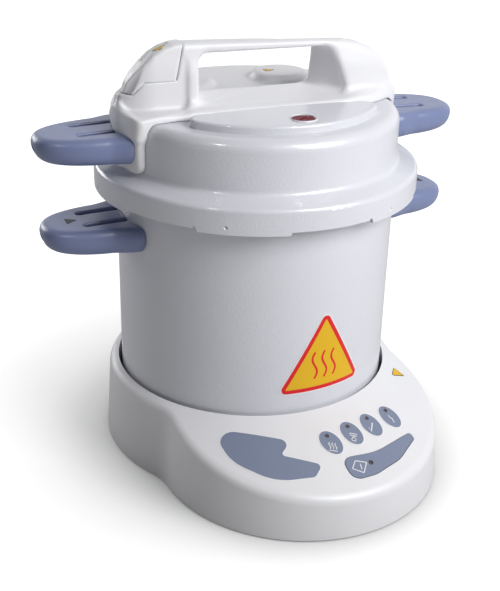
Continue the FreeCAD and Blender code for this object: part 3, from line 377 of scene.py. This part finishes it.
BRACKET_FOOT = [(100.0, -17.5, 264.0), (115.9, 17.5, 277.0)]
BRACKET_TANG = [(100.0, -7.4, 266.5), (130.0, 7.4, 274.0)]


def round_wall(x, y):
    """Distance to the cover's outer wall in plan."""
    right = step(x, -60.0, 60.0)
    rear = step(y, 8.0, 60.0)
    shift = COVER_SHIFT * right - COVER_SHIFT * (1.0 - right) * (1.0 - 1.3 * rear)
    return np.hypot(x, y - shift) - COVER_R


def drawn_back(x, start, reach, depth):
    """How far a face has curved back at x: nothing up to start, and depth one reach later."""
    return depth * np.clip((x - start) / reach, 0.0, 1.2) ** 2


def handle_front(x):
    """Where the handle's front face is: flat in the middle, and drawn back towards its ends."""
    left = drawn_back(-x, start=92.0, reach=28.0, depth=12.0)
    right = drawn_back(x, start=58.0, reach=52.0, depth=8.0)
    return FIN_FRONT_Y + left + right


def lid_top(x, y, z):
    """The lid's dome, plateau and flange fillet, with the play that the cover leaves around them."""
    r = np.hypot(x, y)
    dome = smooth_max(r - VESSEL_R - PLAY, z - LID_TOP_Z - PLAY, DOME_ROUND)
    crown = PLATEAU_Z + PLAY - PLATEAU_CROWN * (r / PLATEAU_R) ** 2
    raised = np.maximum(np.maximum(r - PLATEAU_R - PLAY, z - crown), y - PLATEAU_EDGE_Y)
    ring = np.clip(VESSEL_R + FLANGE_ROUND - r, 0.0, FLANGE_ROUND)
    fillet = FLANGE_Z + FLANGE_ROUND - np.sqrt(FLANGE_ROUND ** 2 - ring ** 2)
    return np.minimum(np.minimum(dome, raised), z - fillet - PLAY)


def fin_field(x, y, z):
    """The upright handle: its front outline minus its window, as a slab that thins upwards."""
    right = step(x, -20.0, 50.0)
    rear_fall = 0.45 * np.clip(y + 14.0, 0.0, 20.0) * right
    front = smooth_max(polygon(FIN_OUTLINE, x, z + rear_fall), round_wall(x, y), 5.0)
    low_down = step(-z, -336.0, -303.0)
    right_cheek = np.clip((y + 24.0) / 28.0, 0.0, 1.1) * step(x, 5.0, 40.0)
    hole = polygon(WINDOW_CORE, x + (9.0 + 12.0 * low_down) * right_cheek, z) - WINDOW_ROUND
    loop = smooth_max(front, -hole, 5.0)
    fin_front = handle_front(x) + FIN_THINNING * step(z, 318.0, 343.0)
    fin_back = FIN_BACK_Y + FIN_THICKENING * right
    slab = np.maximum(fin_front - y, y - fin_back)
    return smooth_max(loop, slab, 6.0)


def deck_field(x, y, z):
    """The round deck: cut off in front, falling behind the handle and at its left end."""
    front_corner = 5.0 + 45.0 * step(x, 10.0, 80.0)
    plan = smooth_max(round_wall(x, y), COVER_FRONT_Y - y, front_corner)
    rear_drop = 8.5 * step(y, -2.0, 32.0)
    front_drop = 5.0 * step(-y, 4.0, 32.0) * (1.0 - step(x, 50.0, 95.0))
    left_drop = 9.0 * step(-x, 72.0, 106.0) * step(y, -14.0, 2.0) * step(-y, -70.0, -20.0)
    right_drop = 5.0 * step(x, 60.0, 112.0) * step(-y, -20.0, 5.0)
    top = DECK_Z - rear_drop - front_drop - left_drop - right_drop
    rim_round = 6.0 + 4.0 * step(y, 20.0, 60.0)
    low = DECK_LOW_Z - 14.0 * step(x, 50.0, 75.0) * step(-y, -30.0, -10.0)
    return smooth_max(smooth_max(plan, z - top, rim_round), low - z, 2.0)


def leg_field(x, y, z, side, grow=0.0):
    """A leg beside a grip: a curved plate on the lid's wall with a round lower edge."""
    angle = np.arctan2(y, x) - math.radians(side + LEG_MIDDLE)
    angle = np.abs(np.arctan2(np.sin(angle), np.cos(angle))) * COVER_R
    flare = 3.0 * step(z, 276.0, 292.0) + 1.2 * step(-z, -266.0, -256.0)
    around = smooth_max(angle - LEG_HALF - flare - grow, LEG_Z0 - grow - z, LEG_ROUND)
    return smooth_max(smooth_max(around, round_wall(x, y) - grow, 5.0), z - LEG_Z1, 1.0)


def cover_field(x, y, z):
    """The whole cover: deck, legs, humps and handle, less the room for the lid and the other parts."""
    body = deck_field(x, y, z)
    for side in (0.0, 180.0):
        body = smooth_min(body, leg_field(x, y, z, side), 9.0)
    for hx, hy, r, top in HUMPS:
        hump = smooth_max(np.hypot(x - hx, y - hy) - r, z - top, 6.0)
        body = smooth_min(body, hump, 5.0)
    body = smooth_min(body, fin_field(x, y, z), 8.0)
    recess = polygon(FINGER_RECESS, x, z) - FINGER_ROUND
    body = cut(body, smooth_max(recess, y - handle_front(x) - FINGER_DEPTH, 3.0), 3.5)
    body = cut(body, polygon(LEVER_GAP, x, z), 0.8)
    y0, y1 = PIN_BOSS_Y
    tongue = block(x, y, z, (PIN_X - 3.0, y0, 314.0), (PIN_X + 7.0, y1, PIN_Z))
    boss = np.maximum(np.hypot(x - PIN_X, z - PIN_Z) - PIN_BOSS_R, np.maximum(y0 - y, y - y1))
    body = np.minimum(body, np.minimum(tongue, boss))
    body = cut(body, lid_top(x, y, z))
    for bore in EXHAUST_BORES:
        body = cut(body, upright(x, y, z, EXHAUST, *bore))
    body = cut(body, upright(x, y, z, SAFETY, *SAFETY_BORE))
    foot = block(np.abs(x), y, z, *BRACKET_FOOT)
    tang = block(np.abs(x), y, z, *BRACKET_TANG)
    return cut(body, np.minimum(foot, tang))


carved_piece("handle_cover_moulding", cover_field, (-120.0, -62.0, LEG_Z0), (120.0, 128.0, 344.0),
             1.2, "lid", "white_plastic", ["handle_cover"])


# --- release lever --------------------------------------------------------------------------------
LEVER_OUTLINE = [(-70.4, 346.2), (-78.0, 345.4), (-86.0, 343.0), (-94.0, 338.6), (-101.0, 332.2),
                 (-108.0, 324.6), (-112.5, 317.6), (-114.8, 309.6), (-108.6, 309.6),
                 (-100.4, 318.9), (-76.6, 318.9)]
LEVER_ROUND = 3.0
LEVER_HOLLOW = [(-60.0, 300.0), (-60.0, 342.6), (-78.0, 342.6), (-86.0, 340.2), (-93.5, 336.0),
                (-96.0, 331.0), (-101.0, 326.6), (-104.5, 320.0), (-104.5, 300.0)]
THUMB_SCOOP = [(-103.0, -34.0, 338.0), (-120.0, -21.0, 309.0), 8.5]     # ends and radius
DROP_MIDDLE = (-90.0, -14.5)
DROP_R = 4.6
DROP_LONG = 2.3
DROP_DEPTH = 0.7
STEM_HOOK = [(-103.0, -21.5, 324.0), (-89.0, -10.5, 326.5)]
STEM_EYE = [(-100.6, -18.6, 320.0), (-91.8, -13.4, 330.0)]


def capsule(x, y, z, a, b, radius):
    """A round bar with ball ends from a to b."""
    ex, ey, ez = (q - p for p, q in zip(a, b))
    px, py, pz = x - a[0], y - a[1], z - a[2]
    t = np.clip((px * ex + py * ey + pz * ez) / (ex * ex + ey * ey + ez * ez), 0.0, 1.0)
    return np.sqrt((px - t * ex) ** 2 + (py - t * ey) ** 2 + (pz - t * ez) ** 2) - radius


def lever_field(x, y, z):
    """The lever: a crowned wedge with a thumb scoop and a sunk oval, hollow under, with the stem's hook."""
    crown = 0.012 * (y + 14.0) ** 2
    side = polygon(LEVER_OUTLINE, x, z + crown)
    front = handle_front(x) + 1.4 + 1.2 * step(z, 326.0, 343.0)
    body = smooth_max(side, np.maximum(front - y, y - FIN_BACK_Y), LEVER_ROUND)
    body = cut(body, capsule(x, y, z, *THUMB_SCOOP), 0.7)
    drop = np.hypot((x - DROP_MIDDLE[0]) / DROP_LONG, y - DROP_MIDDLE[1]) - DROP_R
    body = np.maximum(body, np.minimum(-drop, body + DROP_DEPTH))
    hollow_front = -20.4 + 0.7 * step(-x, 84.0, 90.0)
    hollow_back = -11.0
    across = np.maximum(hollow_front - y, y - hollow_back)
    body = cut(body, np.maximum(polygon(LEVER_HOLLOW, x, z), across))
    hook = block(x, y, z, *STEM_HOOK)
    eye = block(x, y, z, *STEM_EYE)
    return np.minimum(body, np.maximum(hook, -eye))


carved_piece("lever_moulding", lever_field, (-118.0, -29.0, 308.0), (-66.0, -2.0, 348.0), 0.5,
             "release_lever", "white_plastic", ["release_lever"])


# --- grips ----------------------------------------------------------------------------------------
GRIP_ROOT_X = 112.0
GRIP_HALF_Y = 35.0
GRIP_THICK = 22.0
GRIP_DROOP = math.radians(1.5)
LID_GRIP_Z = 281.5
VESSEL_GRIP_Z = 210.0
LID_TIP_X = {"left": 182.0, "right": 177.5}
VESSEL_TIP_X = {"left": 180.0, "right": 174.5}
ROOT_FLARE = 5.0
TOP_ROUND = 8.0
UNDER_ROUND = 14.0
FULLNESS = 2.5             # power of the plan's curve: 2 is an ellipse, and more is squarer
SLOT_TO_TIP = 34.5
SLOT_Y = 13.5
SLOT_R = 3.4
SLOT_DEPTH = 13.0
TIP_HOLE_R = 3.8
TIP_HOLE_DEPTH = 7.0
SIDES = (("left", -1.0), ("right", 1.0))


def grip_axes(x, z, top_z):
    """Distance along a drooping grip from its root, and height over its top face."""
    c, s = math.cos(GRIP_DROOP), math.sin(GRIP_DROOP)
    along, up = x - GRIP_ROOT_X, z - top_z
    return along * c - up * s, along * s + up * c


def grip_field(x, y, z, tip_x, top_z):
    """A tongue: a full half oval in plan, round below, with two slots and a hole in its tip."""
    u, w = grip_axes(x, z, top_z)
    long = tip_x - GRIP_ROOT_X
    ahead = np.maximum(u, 0.0)
    half = GRIP_HALF_Y + ROOT_FLARE * step(-u, -20.0, 0.0)
    less = FULLNESS - 1.0
    q = ((ahead / long) ** FULLNESS + (np.abs(y) / half) ** FULLNESS) ** (1.0 / FULLNESS) + 1e-6
    slope = np.hypot((ahead / long) ** less / long, (np.abs(y) / half) ** less / half)
    plan = np.maximum((q - 1.0) / np.maximum(slope / q ** less, 0.004), -40.0)
    thinner = 2.0 * step(u, 10.0, long + 10.0)
    below = -w - GRIP_THICK + thinner
    body = smooth_max(smooth_max(plan, w, TOP_ROUND), below, UNDER_ROUND)
    slot = np.hypot(np.maximum(u + SLOT_TO_TIP - long, 0.0), np.abs(y) - SLOT_Y) - SLOT_R
    body = cut(body, np.maximum(slot, -SLOT_DEPTH - w), 1.6)
    hole = np.maximum(np.hypot(y, w + GRIP_THICK / 2) - TIP_HOLE_R, long - TIP_HOLE_DEPTH - u)
    body = cut(body, hole, 1.2)
    return np.maximum(body, VESSEL_R + PLAY - np.hypot(x, y))


def make_grip(name, sign, tip_x, top_z, body, node):
    """One of the four grips; those on the lid leave room for the cover's leg."""
    def field(x, y, z):
        grip = grip_field(sign * x, sign * y, z, tip_x, top_z)
        if body == "lid":
            side = 90.0 - 90.0 * sign
            grip = cut(grip, leg_field(x, y, z, side, PLAY), 0.4)
        return grip

    ends = sorted((sign * 104.0, sign * (tip_x + 1.0)))
    wide = GRIP_HALF_Y + ROOT_FLARE
    low = (ends[0], -wide, top_z - GRIP_THICK - 3.0)
    high = (ends[1], wide, top_z + 1.0)
    carved_piece(name, field, low, high, 1.0, body, "grip_blue", [node])


for grip_side, grip_sign in SIDES:
    make_grip("lid_grip_moulding_" + grip_side, grip_sign, LID_TIP_X[grip_side], LID_GRIP_Z, "lid",
              "lid_grip_" + grip_side)
    make_grip("vessel_grip_moulding_" + grip_side, grip_sign, VESSEL_TIP_X[grip_side],
              VESSEL_GRIP_Z, "base", "vessel_grip_" + grip_side)
for screw_node in ("lid_grip_screws", "vessel_grip_screws"):
    dress(frame["nodes"][screw_node], "black_plastic")


# --- pressure indicator ---------------------------------------------------------------------------
INDICATOR = middle("pressure_indicator")[:2]
BUTTON_Z = 298.1
BUTTON_R = 8.9
BUTTON_HIGH = 3.0
GROOVE_ANGLE = math.radians(40.0)
GROOVE_HALF = 0.8
GROOVE_DEPTH = 0.9
STEM_R = 4.0
FOOT_R = 6.0
FOOT_Z = (279.0, 281.0)
RING_R = 10.4
RING_Z = (290.0, 298.9)
RING_INNER_R = BUTTON_R + PLAY
BUSH_R = 9.6
BUSH_Z = (286.0, 294.5)


def indicator_field(x, y, z):
    """A flat round button with a screwdriver slot across it, on a stem."""
    dx, dy = x - INDICATOR[0], y - INDICATOR[1]
    flat = np.maximum(z - BUTTON_Z, BUTTON_Z - BUTTON_HIGH - z)
    button = smooth_max(np.hypot(dx, dy) - BUTTON_R, flat, 0.8)
    across = np.abs(dy * math.cos(GROOVE_ANGLE) - dx * math.sin(GROOVE_ANGLE))
    button = cut(button, np.maximum(across - GROOVE_HALF, BUTTON_Z - GROOVE_DEPTH - z), 0.3)
    stem = upright(x, y, z, INDICATOR, STEM_R, FOOT_Z[1], BUTTON_Z - 2.0)
    foot = upright(x, y, z, INDICATOR, FOOT_R, *FOOT_Z)
    return np.minimum(button, np.minimum(stem, foot))


def grommet_field(x, y, z):
    """A thin round-edged ring around the button, over a bush that fills the lid's hole."""
    r = np.hypot(x - INDICATOR[0], y - INDICATOR[1])
    band = np.abs(r - (RING_R + RING_INNER_R) / 2) - (RING_R - RING_INNER_R) / 2
    lip = smooth_max(band, np.maximum(z - RING_Z[1], RING_Z[0] - z), 0.8)
    bush = np.maximum(upright(x, y, z, INDICATOR, BUSH_R, *BUSH_Z), STEM_R + 0.05 - r)
    return np.minimum(lip, bush)


button_low = (INDICATOR[0] - 11.0, INDICATOR[1] - 11.0, FOOT_Z[0])
button_high = (INDICATOR[0] + 11.0, INDICATOR[1] + 11.0, 300.0)
carved_piece("indicator_button", indicator_field, button_low, button_high, 0.4, "pressure_indicator",
             "red_plastic", ["pressure_indicator"])
carved_piece("indicator_ring", grommet_field, button_low, button_high, 0.45, "lid", "painted_shell",
             ["indicator_grommet"])


# --- films and printed marks ----------------------------------------------------------------------
PANEL_SLOPE = math.radians(24.3)
PANEL_Y = -152.0
COLLAR_R = 117.0
COLLAR_Z = 69.5
LABEL_MIDDLE = math.radians(-83.0)
LABEL_Z = 86.0
LABEL_SIDE = 77.0
OVALS = [(-15.0, -146.0), (6.2, -144.1), (27.2, -142.2), (49.2, -139.6)]
OVAL_LONG = 11.5
OVAL_SHORT = 8.2
OVAL_TURN = math.radians(100.0)
ICON_TURN = math.radians(-28.0)
ICON_SHIFT = (-0.5, -3.2)      # from an oval's middle to its icon
PRINT_HALF = 0.4               # half the width of a printed outline
PEN = 0.6
NAME_CORNERS = [(-93.5, -99.0, 9.0), (-44.0, -134.0, 5.5), (-57.5, -141.0, 2.5), (-32.0, -159.5, 3.5),
                (-42.5, -166.5, 5.0), (-72.0, -158.5, 40.0), (-93.0, -131.0, 36.0)]


def rounded(corners, grow=0.0, steps=6):
    """A closed outline from (x, y, rounding) corners, made larger by grow."""
    places = [Vector(c[:2]) for c in corners]
    area = sum(a.x * b.y - b.x * a.y for a, b in zip(places, places[1:] + places[:1]))
    side = math.copysign(1.0, area)
    points = []
    for k, corner in enumerate(corners):
        arriving = (places[k] - places[k - 1]).normalized()
        leaving = (places[(k + 1) % len(places)] - places[k]).normalized()
        outward = Vector((arriving.y + leaving.y, -arriving.x - leaving.x)).normalized() * side
        half = arriving.angle(leaving) / 2
        turn = math.copysign(1.0, (arriving.x * leaving.y - arriving.y * leaving.x) * side)
        r = max(corner[2] + turn * grow, 0.01)
        here = places[k] + outward * (grow / math.cos(half))
        centre = here - outward * (turn * r / math.cos(half))
        for j in range(steps + 1):
            a = half * (2.0 * j / steps - 1.0) * turn * side
            spoke = outward * turn
            points.append(centre + r * Vector(turned(spoke.x, spoke.y, a)))
    return [(p.x, p.y) for p in points]


def oval(place, long, short, count=40):
    """An ellipse on the panel; it is drawn long enough to look right on the slope."""
    points = []
    for k in range(count):
        a = 2.0 * math.pi * k / count
        across, along = turned(long * math.cos(a), short * math.sin(a), OVAL_TURN)
        points.append((place[0] + across, place[1] + along * math.cos(PANEL_SLOPE)))
    return points


def stroke(line, width):
    """The outline of a pen stroke along a line of points."""
    left, right = [], []
    for k, p in enumerate(line):
        before, after = Vector(line[max(k - 1, 0)]), Vector(line[min(k + 1, len(line) - 1)])
        along = (after - before).normalized()
        side = Vector((-along.y, along.x)) * (width / 2)
        left.append((p[0] + side.x, p[1] + side.y))
        right.append((p[0] - side.x, p[1] - side.y))
    return left + right[::-1]


def ring(points, width):
    """A narrow band along a closed outline."""
    return stroke(points + points[:1], width)


def from_lowest(face):
    """The same face started at its lowest point number, so that every run lists the faces alike."""
    first = face.index(min(face))
    return face[first:] + face[:first]


def film_mesh(outline, pitch):
    """A plate of unit height over an outline, sliced so that it can follow a curved surface."""
    bm = bmesh.new()
    bm.faces.new([bm.verts.new((x, y, 0.0)) for x, y in outline])
    for axis in (0, 1):
        values = [p[axis] for p in outline]
        place = math.floor(min(values) / pitch) * pitch + pitch
        while place < max(values):
            spot = [0.0, 0.0, 0.0]
            spot[axis] = place
            normal = [0.0, 0.0, 0.0]
            normal[axis] = 1.0
            bmesh.ops.bisect_plane(bm, geom=bm.verts[:] + bm.edges[:] + bm.faces[:], dist=1e-4,
                                   plane_co=spot, plane_no=normal)
            place += pitch
    bmesh.ops.triangulate(bm, faces=bm.faces[:])
    top = bmesh.ops.extrude_face_region(bm, geom=bm.faces[:])["geom"]
    for v in (g for g in top if isinstance(g, bmesh.types.BMVert)):
        v.co.z = 1.0
    bmesh.ops.recalc_face_normals(bm, faces=bm.faces[:])
    points = np.array([v.co[:] for v in bm.verts])
    faces = sorted(from_lowest([v.index for v in f.verts]) for f in bm.faces)
    bm.free()
    return points, faces


def films(name, outlines, place, low, high, body, finish, nodes=(), pitch=4.0):
    """Thin plates from low to high over a surface, joined into one piece; place() bends them onto it."""
    all_points, all_faces = [], []
    count = 0
    for outline in outlines:
        points, faces = film_mesh(outline, pitch)
        all_points.append(place(points[:, 0], points[:, 1], low + (high - low) * points[:, 2]))
        all_faces += [[i + count for i in f] for f in faces]
        count += len(points)
    return make_piece(name, np.concatenate(all_points), all_faces, body, finish, nodes, smooth=False)


def on_wall(x, y, h):
    """Label plane to the vessel's wall: x runs round the wall from the label's middle, y is height."""
    angle = LABEL_MIDDLE + x / VESSEL_R
    r = VESSEL_R + h
    return np.stack([r * np.cos(angle), r * np.sin(angle), LABEL_Z + y], 1)


def cone_z(x, y):
    """Height of the base's sloping round top."""
    return COLLAR_Z - math.tan(PANEL_SLOPE) * (np.hypot(x, y) - COLLAR_R)


def on_cone(x, y, h):
    """Plan position to the base's sloping top, seen from above."""
    return np.stack([*to_grips(x, y), cone_z(x, y) + h], 1)


def on_panel(x, y, h):
    """Plan position on the flat plane that touches the panel's middle, set square on the panel."""
    s, c = math.sin(PANEL_SLOPE), math.cos(PANEL_SLOPE)
    level = cone_z(0.0, PANEL_Y) + (y - PANEL_Y) * s / c
    lift = np.zeros_like(x)
    for _ in range(8):
        lift = lift - c * (level + lift * c - cone_z(x, y - lift * s))
    lift = lift + h
    return np.stack([*to_grips(x, y - lift * s), level + lift * c], 1)


def panel_outline(corners, grow):
    """A rounded outline whose roundings are true on the slope."""
    c = math.cos(PANEL_SLOPE)
    points = rounded([(x, (y - PANEL_Y) / c, r) for x, y, r in corners], grow)
    return [(x, PANEL_Y + y * c) for x, y in points]


def on_grip(sign):
    """A place function for the top face of the left (-1) or right (1) vessel grip."""
    def place(x, y, h):
        c, s = math.cos(GRIP_DROOP), math.sin(GRIP_DROOP)
        along = x - GRIP_ROOT_X
        return np.stack([sign * (GRIP_ROOT_X + along * c + h * s), sign * y,
                         VESSEL_GRIP_Z - along * s + h * c], 1)
    return place


def on_lever(x, y, h):
    """Plan position to the lever's top, found by walking down to it."""
    z = np.full_like(x, 352.0)
    for _ in range(40):
        z -= 0.8 * lever_field(x, y, z)
    return np.stack([x, y, z + h], 1)


def on_hump(x, y, h):
    """Plan position to the flat top of the right-hand hump."""
    return np.stack([x, y, HUMPS[0][3] + h], 1)


def triangle(side, high, r):
    """Rounded corners of a triangle that stands on the middle of its lower side."""
    return [(-side / 2, 0.0, r), (side / 2, 0.0, r), (0.0, high, r)]


def wave(x0, y0, length, swing, count=24):
    """A wavy line that rises from (x0, y0)."""
    return [(x0 + swing * math.sin(2 * math.pi * k / count), y0 + length * k / count)
            for k in range(count + 1)]


def strokes_between(points, width):
    """A pen stroke from each point to the next."""
    return [stroke([a, b], width) for a, b in zip(points, points[1:])]


def icon(strokes, oval_middle):
    """Pen strokes in an icon's own plane, set in an oval on the panel."""
    x0, y0 = oval_middle[0] + ICON_SHIFT[0], oval_middle[1] + ICON_SHIFT[1]
    places = [[turned(x, y, ICON_TURN) for x, y in line] for line in strokes]
    return [[(x0 + x, y0 + y) for x, y in line] for line in places]


LABEL_CORNERS = triangle(LABEL_SIDE, 68.5, 4.0)
films("heat_label_margin", [rounded(LABEL_CORNERS, 1.1)], on_wall, 0.01, 0.2, "base", "pale_print")
films("heat_label_edge", [rounded(LABEL_CORNERS)], on_wall, 0.02, 0.3, "base", "red_label",
      ["heat_label"])
films("heat_label_face", [rounded(LABEL_CORNERS, -3.4)], on_wall, 0.05, 0.4, "base", "yellow_label")
films("heat_label_waves", [stroke(wave(x, 10.5, 23.5, 2.3), 1.7) for x in (-8.5, 0.3, 8.8)], on_wall,
      0.1, 0.5, "base", "red_label", pitch=2.0)

outlines_on_panel = [oval(p, OVAL_LONG + PRINT_HALF, OVAL_SHORT + PRINT_HALF) for p in OVALS]
outlines_on_panel.append(panel_outline(NAME_CORNERS, PRINT_HALF))
films("panel_outlines", [ring(line, 2 * PRINT_HALF) for line in outlines_on_panel], on_panel, 0.0, 0.22,
      "base", "pale_print")

HEAT_ICON = [stroke(wave(x, -2.4, 5.4, 0.6), PEN) for x in (-2.4, 0.0, 2.4)]
HEAT_ICON.append(stroke([(-3.4, -3.8), (3.4, -3.8)], PEN))
CUP = [(0.0, 0.2), (-1.8, -2.4), (-1.2, -3.8), (1.2, -3.8), (1.8, -2.4), (0.2, 0.2)]
STEAM_ICON = [stroke([(-3.0, y), (3.0, y)], PEN) for y in (2.6, 0.9)] + [stroke(CUP, PEN)]
TICK = [(23.6, -143.9), (23.5, -147.6), (29.2, -141.0)]
DASH = [(48.4, -138.2), (49.2, -141.3), (50.2, -141.5), (49.4, -145.3)]
marks = icon(HEAT_ICON, OVALS[0]) + icon(STEAM_ICON, OVALS[1])
marks += [stroke(TICK, 0.9)] + strokes_between(DASH, 0.8)
films("panel_icons", marks, on_panel, 0.1, 0.35, "base", "pale_print", pitch=2.0)

DIAMOND = [(-5.6, -165.5), (2.5, -169.6), (-4.7, -176.3), (-11.6, -170.5)]
KEY_LINE = [(-3.2, -168.9), (-4.5, -173.4)]
key_marks = strokes_between(DIAMOND + DIAMOND[:1], 0.7) + strokes_between(KEY_LINE, 0.7)
films("key_icon", key_marks, on_panel, 0.25, 0.45, "start_key", "pale_print", pitch=2.0)

BASE_MARK = [(93.3, -87.4, 0.6), (84.8, -95.9, 0.6), (97.4, -96.1, 0.6)]
films("base_mark_edge", [rounded(BASE_MARK, 0.6)], on_cone, 0.0, 0.2, "base", "dark_mark")
films("base_mark", [rounded(BASE_MARK)], on_cone, 0.1, 0.32, "base", "yellow_label", ["base_label"])

LEVER_MARK = [(-91.4, -13.4, 0.6), (-82.0, -15.4, 0.6), (-87.6, -21.4, 0.6)]
films("lever_mark_edge", [rounded(LEVER_MARK, 0.5)], on_lever, -0.1, 0.1, "release_lever", "dark_mark",
      pitch=2.0)
films("lever_mark_face", [rounded(LEVER_MARK)], on_lever, 0.0, 0.2, "release_lever", "yellow_label",
      ["lever_mark"], pitch=2.0)
HUMP_MARK = [(32.0, 55.0, 0.6), (32.0, 63.0, 0.6), (41.0, 59.0, 0.6)]
films("hump_mark_edge", [rounded(HUMP_MARK, 0.6)], on_hump, -0.3, 0.1, "lid", "dark_mark")
films("hump_mark_face", [rounded(HUMP_MARK)], on_hump, 0.0, 0.2, "lid", "yellow_label", ["hump_mark"])
GRIP_MARK = [(151.0, 0.0, 0.5), (160.0, -6.0, 0.5), (160.0, 6.0, 0.5)]
for mark_side, mark_sign in SIDES:
    films("grip_arrow_" + mark_side, [rounded(GRIP_MARK)], on_grip(mark_sign), -0.3, 0.15, "base",
          "dark_mark", ["arrow_marks"] if mark_sign > 0 else ())


# --- stage --------------------------------------------------------------------------------------
CAMERA_AZIMUTH = -32.0
CAMERA_ELEVATION = 25.02
CAMERA_ROLL = 1.487
CAMERA_DISTANCE = 0.8858
CAMERA_LENS = 61.89
CAMERA_SHIFT = -0.0036
AIM = Vector((0.0, 0.0, 0.1197))
LIT_FROM = Vector((0.0, 0.0, 0.17))


def spherical(azimuth, elevation):
    """Unit vector seen from the object: azimuth in degrees from -Y towards +X, elevation from level."""
    a, e = math.radians(azimuth), math.radians(elevation)
    return Vector((math.sin(a) * math.cos(e), -math.cos(a) * math.cos(e), math.sin(e)))


def make_camera():
    """A camera that looks at AIM, rolled a little about its line of sight."""
    camera = bpy.data.cameras.new("camera")
    camera.sensor_width = 36.0
    camera.lens = CAMERA_LENS
    camera.shift_x = CAMERA_SHIFT
    camera.clip_start = 0.01
    back = spherical(CAMERA_AZIMUTH, CAMERA_ELEVATION)
    right = spherical(CAMERA_AZIMUTH + 90.0, 0.0)
    up = back.cross(right)
    c, s = math.cos(math.radians(CAMERA_ROLL)), math.sin(math.radians(CAMERA_ROLL))
    axes = Matrix((c * right + s * up, c * up - s * right, back)).transposed()
    holder = bpy.data.objects.new("camera", camera)
    holder.matrix_world = Matrix.Translation(AIM + CAMERA_DISTANCE * back) @ axes.to_4x4()
    bpy.context.scene.collection.objects.link(holder)
    bpy.context.scene.camera = holder


def make_floor(half, shade, painted_shadow_reach):
    """A pale floor. Only the camera sees most of its glow, which fades close to the object and where the object
    covers it, as a painted shadow.
    """
    mesh = bpy.data.meshes.new("floor")
    mesh.from_pydata([(-half, -half, 0), (half, -half, 0), (half, half, 0), (-half, half, 0)], [],
                     [(0, 1, 2, 3)])
    floor = bpy.data.objects.new("floor", mesh)
    bpy.context.scene.collection.objects.link(floor)
    material, tree, shader, where = new_material("floor")
    tint = mix_colour(tree, noise(tree, where, 0.25), (shade,) * 3, (shade * 1.02,) * 3)
    tree.links.new(tint, shader.inputs["Base Color"])
    shader.inputs["Roughness"].default_value = 0.9
    shader.inputs["Specular IOR Level"].default_value = 0.1
    shader.inputs["Emission Color"].default_value = (1.0, 1.0, 1.0, 1.0)
    # The ambient-occlusion node drives a painted contact shadow: it dims the floor's glow where the object is
    # near.
    open_sky = tree.nodes.new("ShaderNodeAmbientOcclusion")
    open_sky.inputs["Distance"].default_value = painted_shadow_reach
    path = tree.nodes.new("ShaderNodeLightPath")
    reach = tree.nodes.new("ShaderNodeVectorMath")
    reach.operation = "LENGTH"
    tree.links.new(where, reach.inputs[0])
    # Painted shade: the glow is dimmed within about a third of a metre of the object's middle.
    painted_shade_near_object = ramp(tree, reach.outputs["Value"], 0.15, 0.34, 0.56, 1.0)
    # Painted contact shadow: the glow is dimmed further where the object covers the floor close by.
    painted_contact_shade = ramp(tree, open_sky.outputs["AO"], 0.4, 0.9, 0.25, 1.0)
    glow = calculated(tree, "MULTIPLY", painted_shade_near_object, painted_contact_shade)
    seen = ramp(tree, path.outputs["Is Camera Ray"], 0.0, 1.0, 0.2, 1.0)
    tree.links.new(calculated(tree, "MULTIPLY", glow, seen), shader.inputs["Emission Strength"])
    mesh.materials.append(material)


def sun(name, azimuth, elevation, strength, softness, only_shine=False):
    """A far, soft light; softness is the width in degrees that it is seen at."""
    light = bpy.data.lights.new(name, "SUN")
    light.energy = strength
    light.angle = math.radians(softness)
    holder = bpy.data.objects.new(name, light)
    holder.rotation_euler = spherical(azimuth, elevation).to_track_quat("Z", "Y").to_euler()
    holder.visible_diffuse = not only_shine
    bpy.context.scene.collection.objects.link(holder)


def lamp(name, azimuth, elevation, distance, size, power):
    """A round soft light close enough that it falls off across the object."""
    light = bpy.data.lights.new(name, "AREA")
    light.shape = "DISK"
    light.size = size
    light.energy = power
    holder = bpy.data.objects.new(name, light)
    towards = spherical(azimuth, elevation)
    turn = towards.to_track_quat("Z", "Y").to_matrix().to_4x4()
    holder.matrix_world = Matrix.Translation(LIT_FROM + distance * towards) @ turn
    bpy.context.scene.collection.objects.link(holder)


def make_world(dim, bright):
    """Studio surroundings: dim around the camera, bright behind the object, and white to the camera."""
    world = bpy.data.worlds.new("studio")
    world.use_nodes = True
    tree = world.node_tree
    coords = tree.nodes.new("ShaderNodeTexCoord")
    facing = tree.nodes.new("ShaderNodeVectorMath")
    facing.operation = "DOT_PRODUCT"
    facing.inputs[1].default_value = -spherical(CAMERA_AZIMUTH, 0.0)
    tree.links.new(coords.outputs["Generated"], facing.inputs[0])
    level = ramp(tree, facing.outputs["Value"], 0.3, 0.9, dim, bright)
    path = tree.nodes.new("ShaderNodeLightPath")
    strength = calculated(tree, "MAXIMUM", level, path.outputs["Is Camera Ray"])
    background = tree.nodes["Background"]
    background.inputs["Color"].default_value = (0.98, 0.985, 1.0, 1.0)
    tree.links.new(strength, background.inputs["Strength"])
    bpy.context.scene.world = world


# The floor's painted contact shadow reaches 0.12 m from the object.
make_floor(half=8.0, shade=0.38, painted_shadow_reach=0.12)
make_camera()
make_world(dim=0.16, bright=1.0)
lamp("key", CAMERA_AZIMUTH + 54.0, 34.0, distance=1.2, size=0.7, power=12.8)
sun("top", CAMERA_AZIMUTH + 150.0, 72.0, strength=0.3, softness=60.0)
sun("rim", CAMERA_AZIMUTH - 134.0, 12.0, strength=0.9, softness=24.0)
sun("glint_right", CAMERA_AZIMUTH + 42.0, 46.0, strength=1.3, softness=6.0, only_shine=True)
sun("glint_left", CAMERA_AZIMUTH - 34.0, 46.0, strength=0.6, softness=6.0, only_shine=True)
bpy.context.scene.view_settings.view_transform = "Standard"
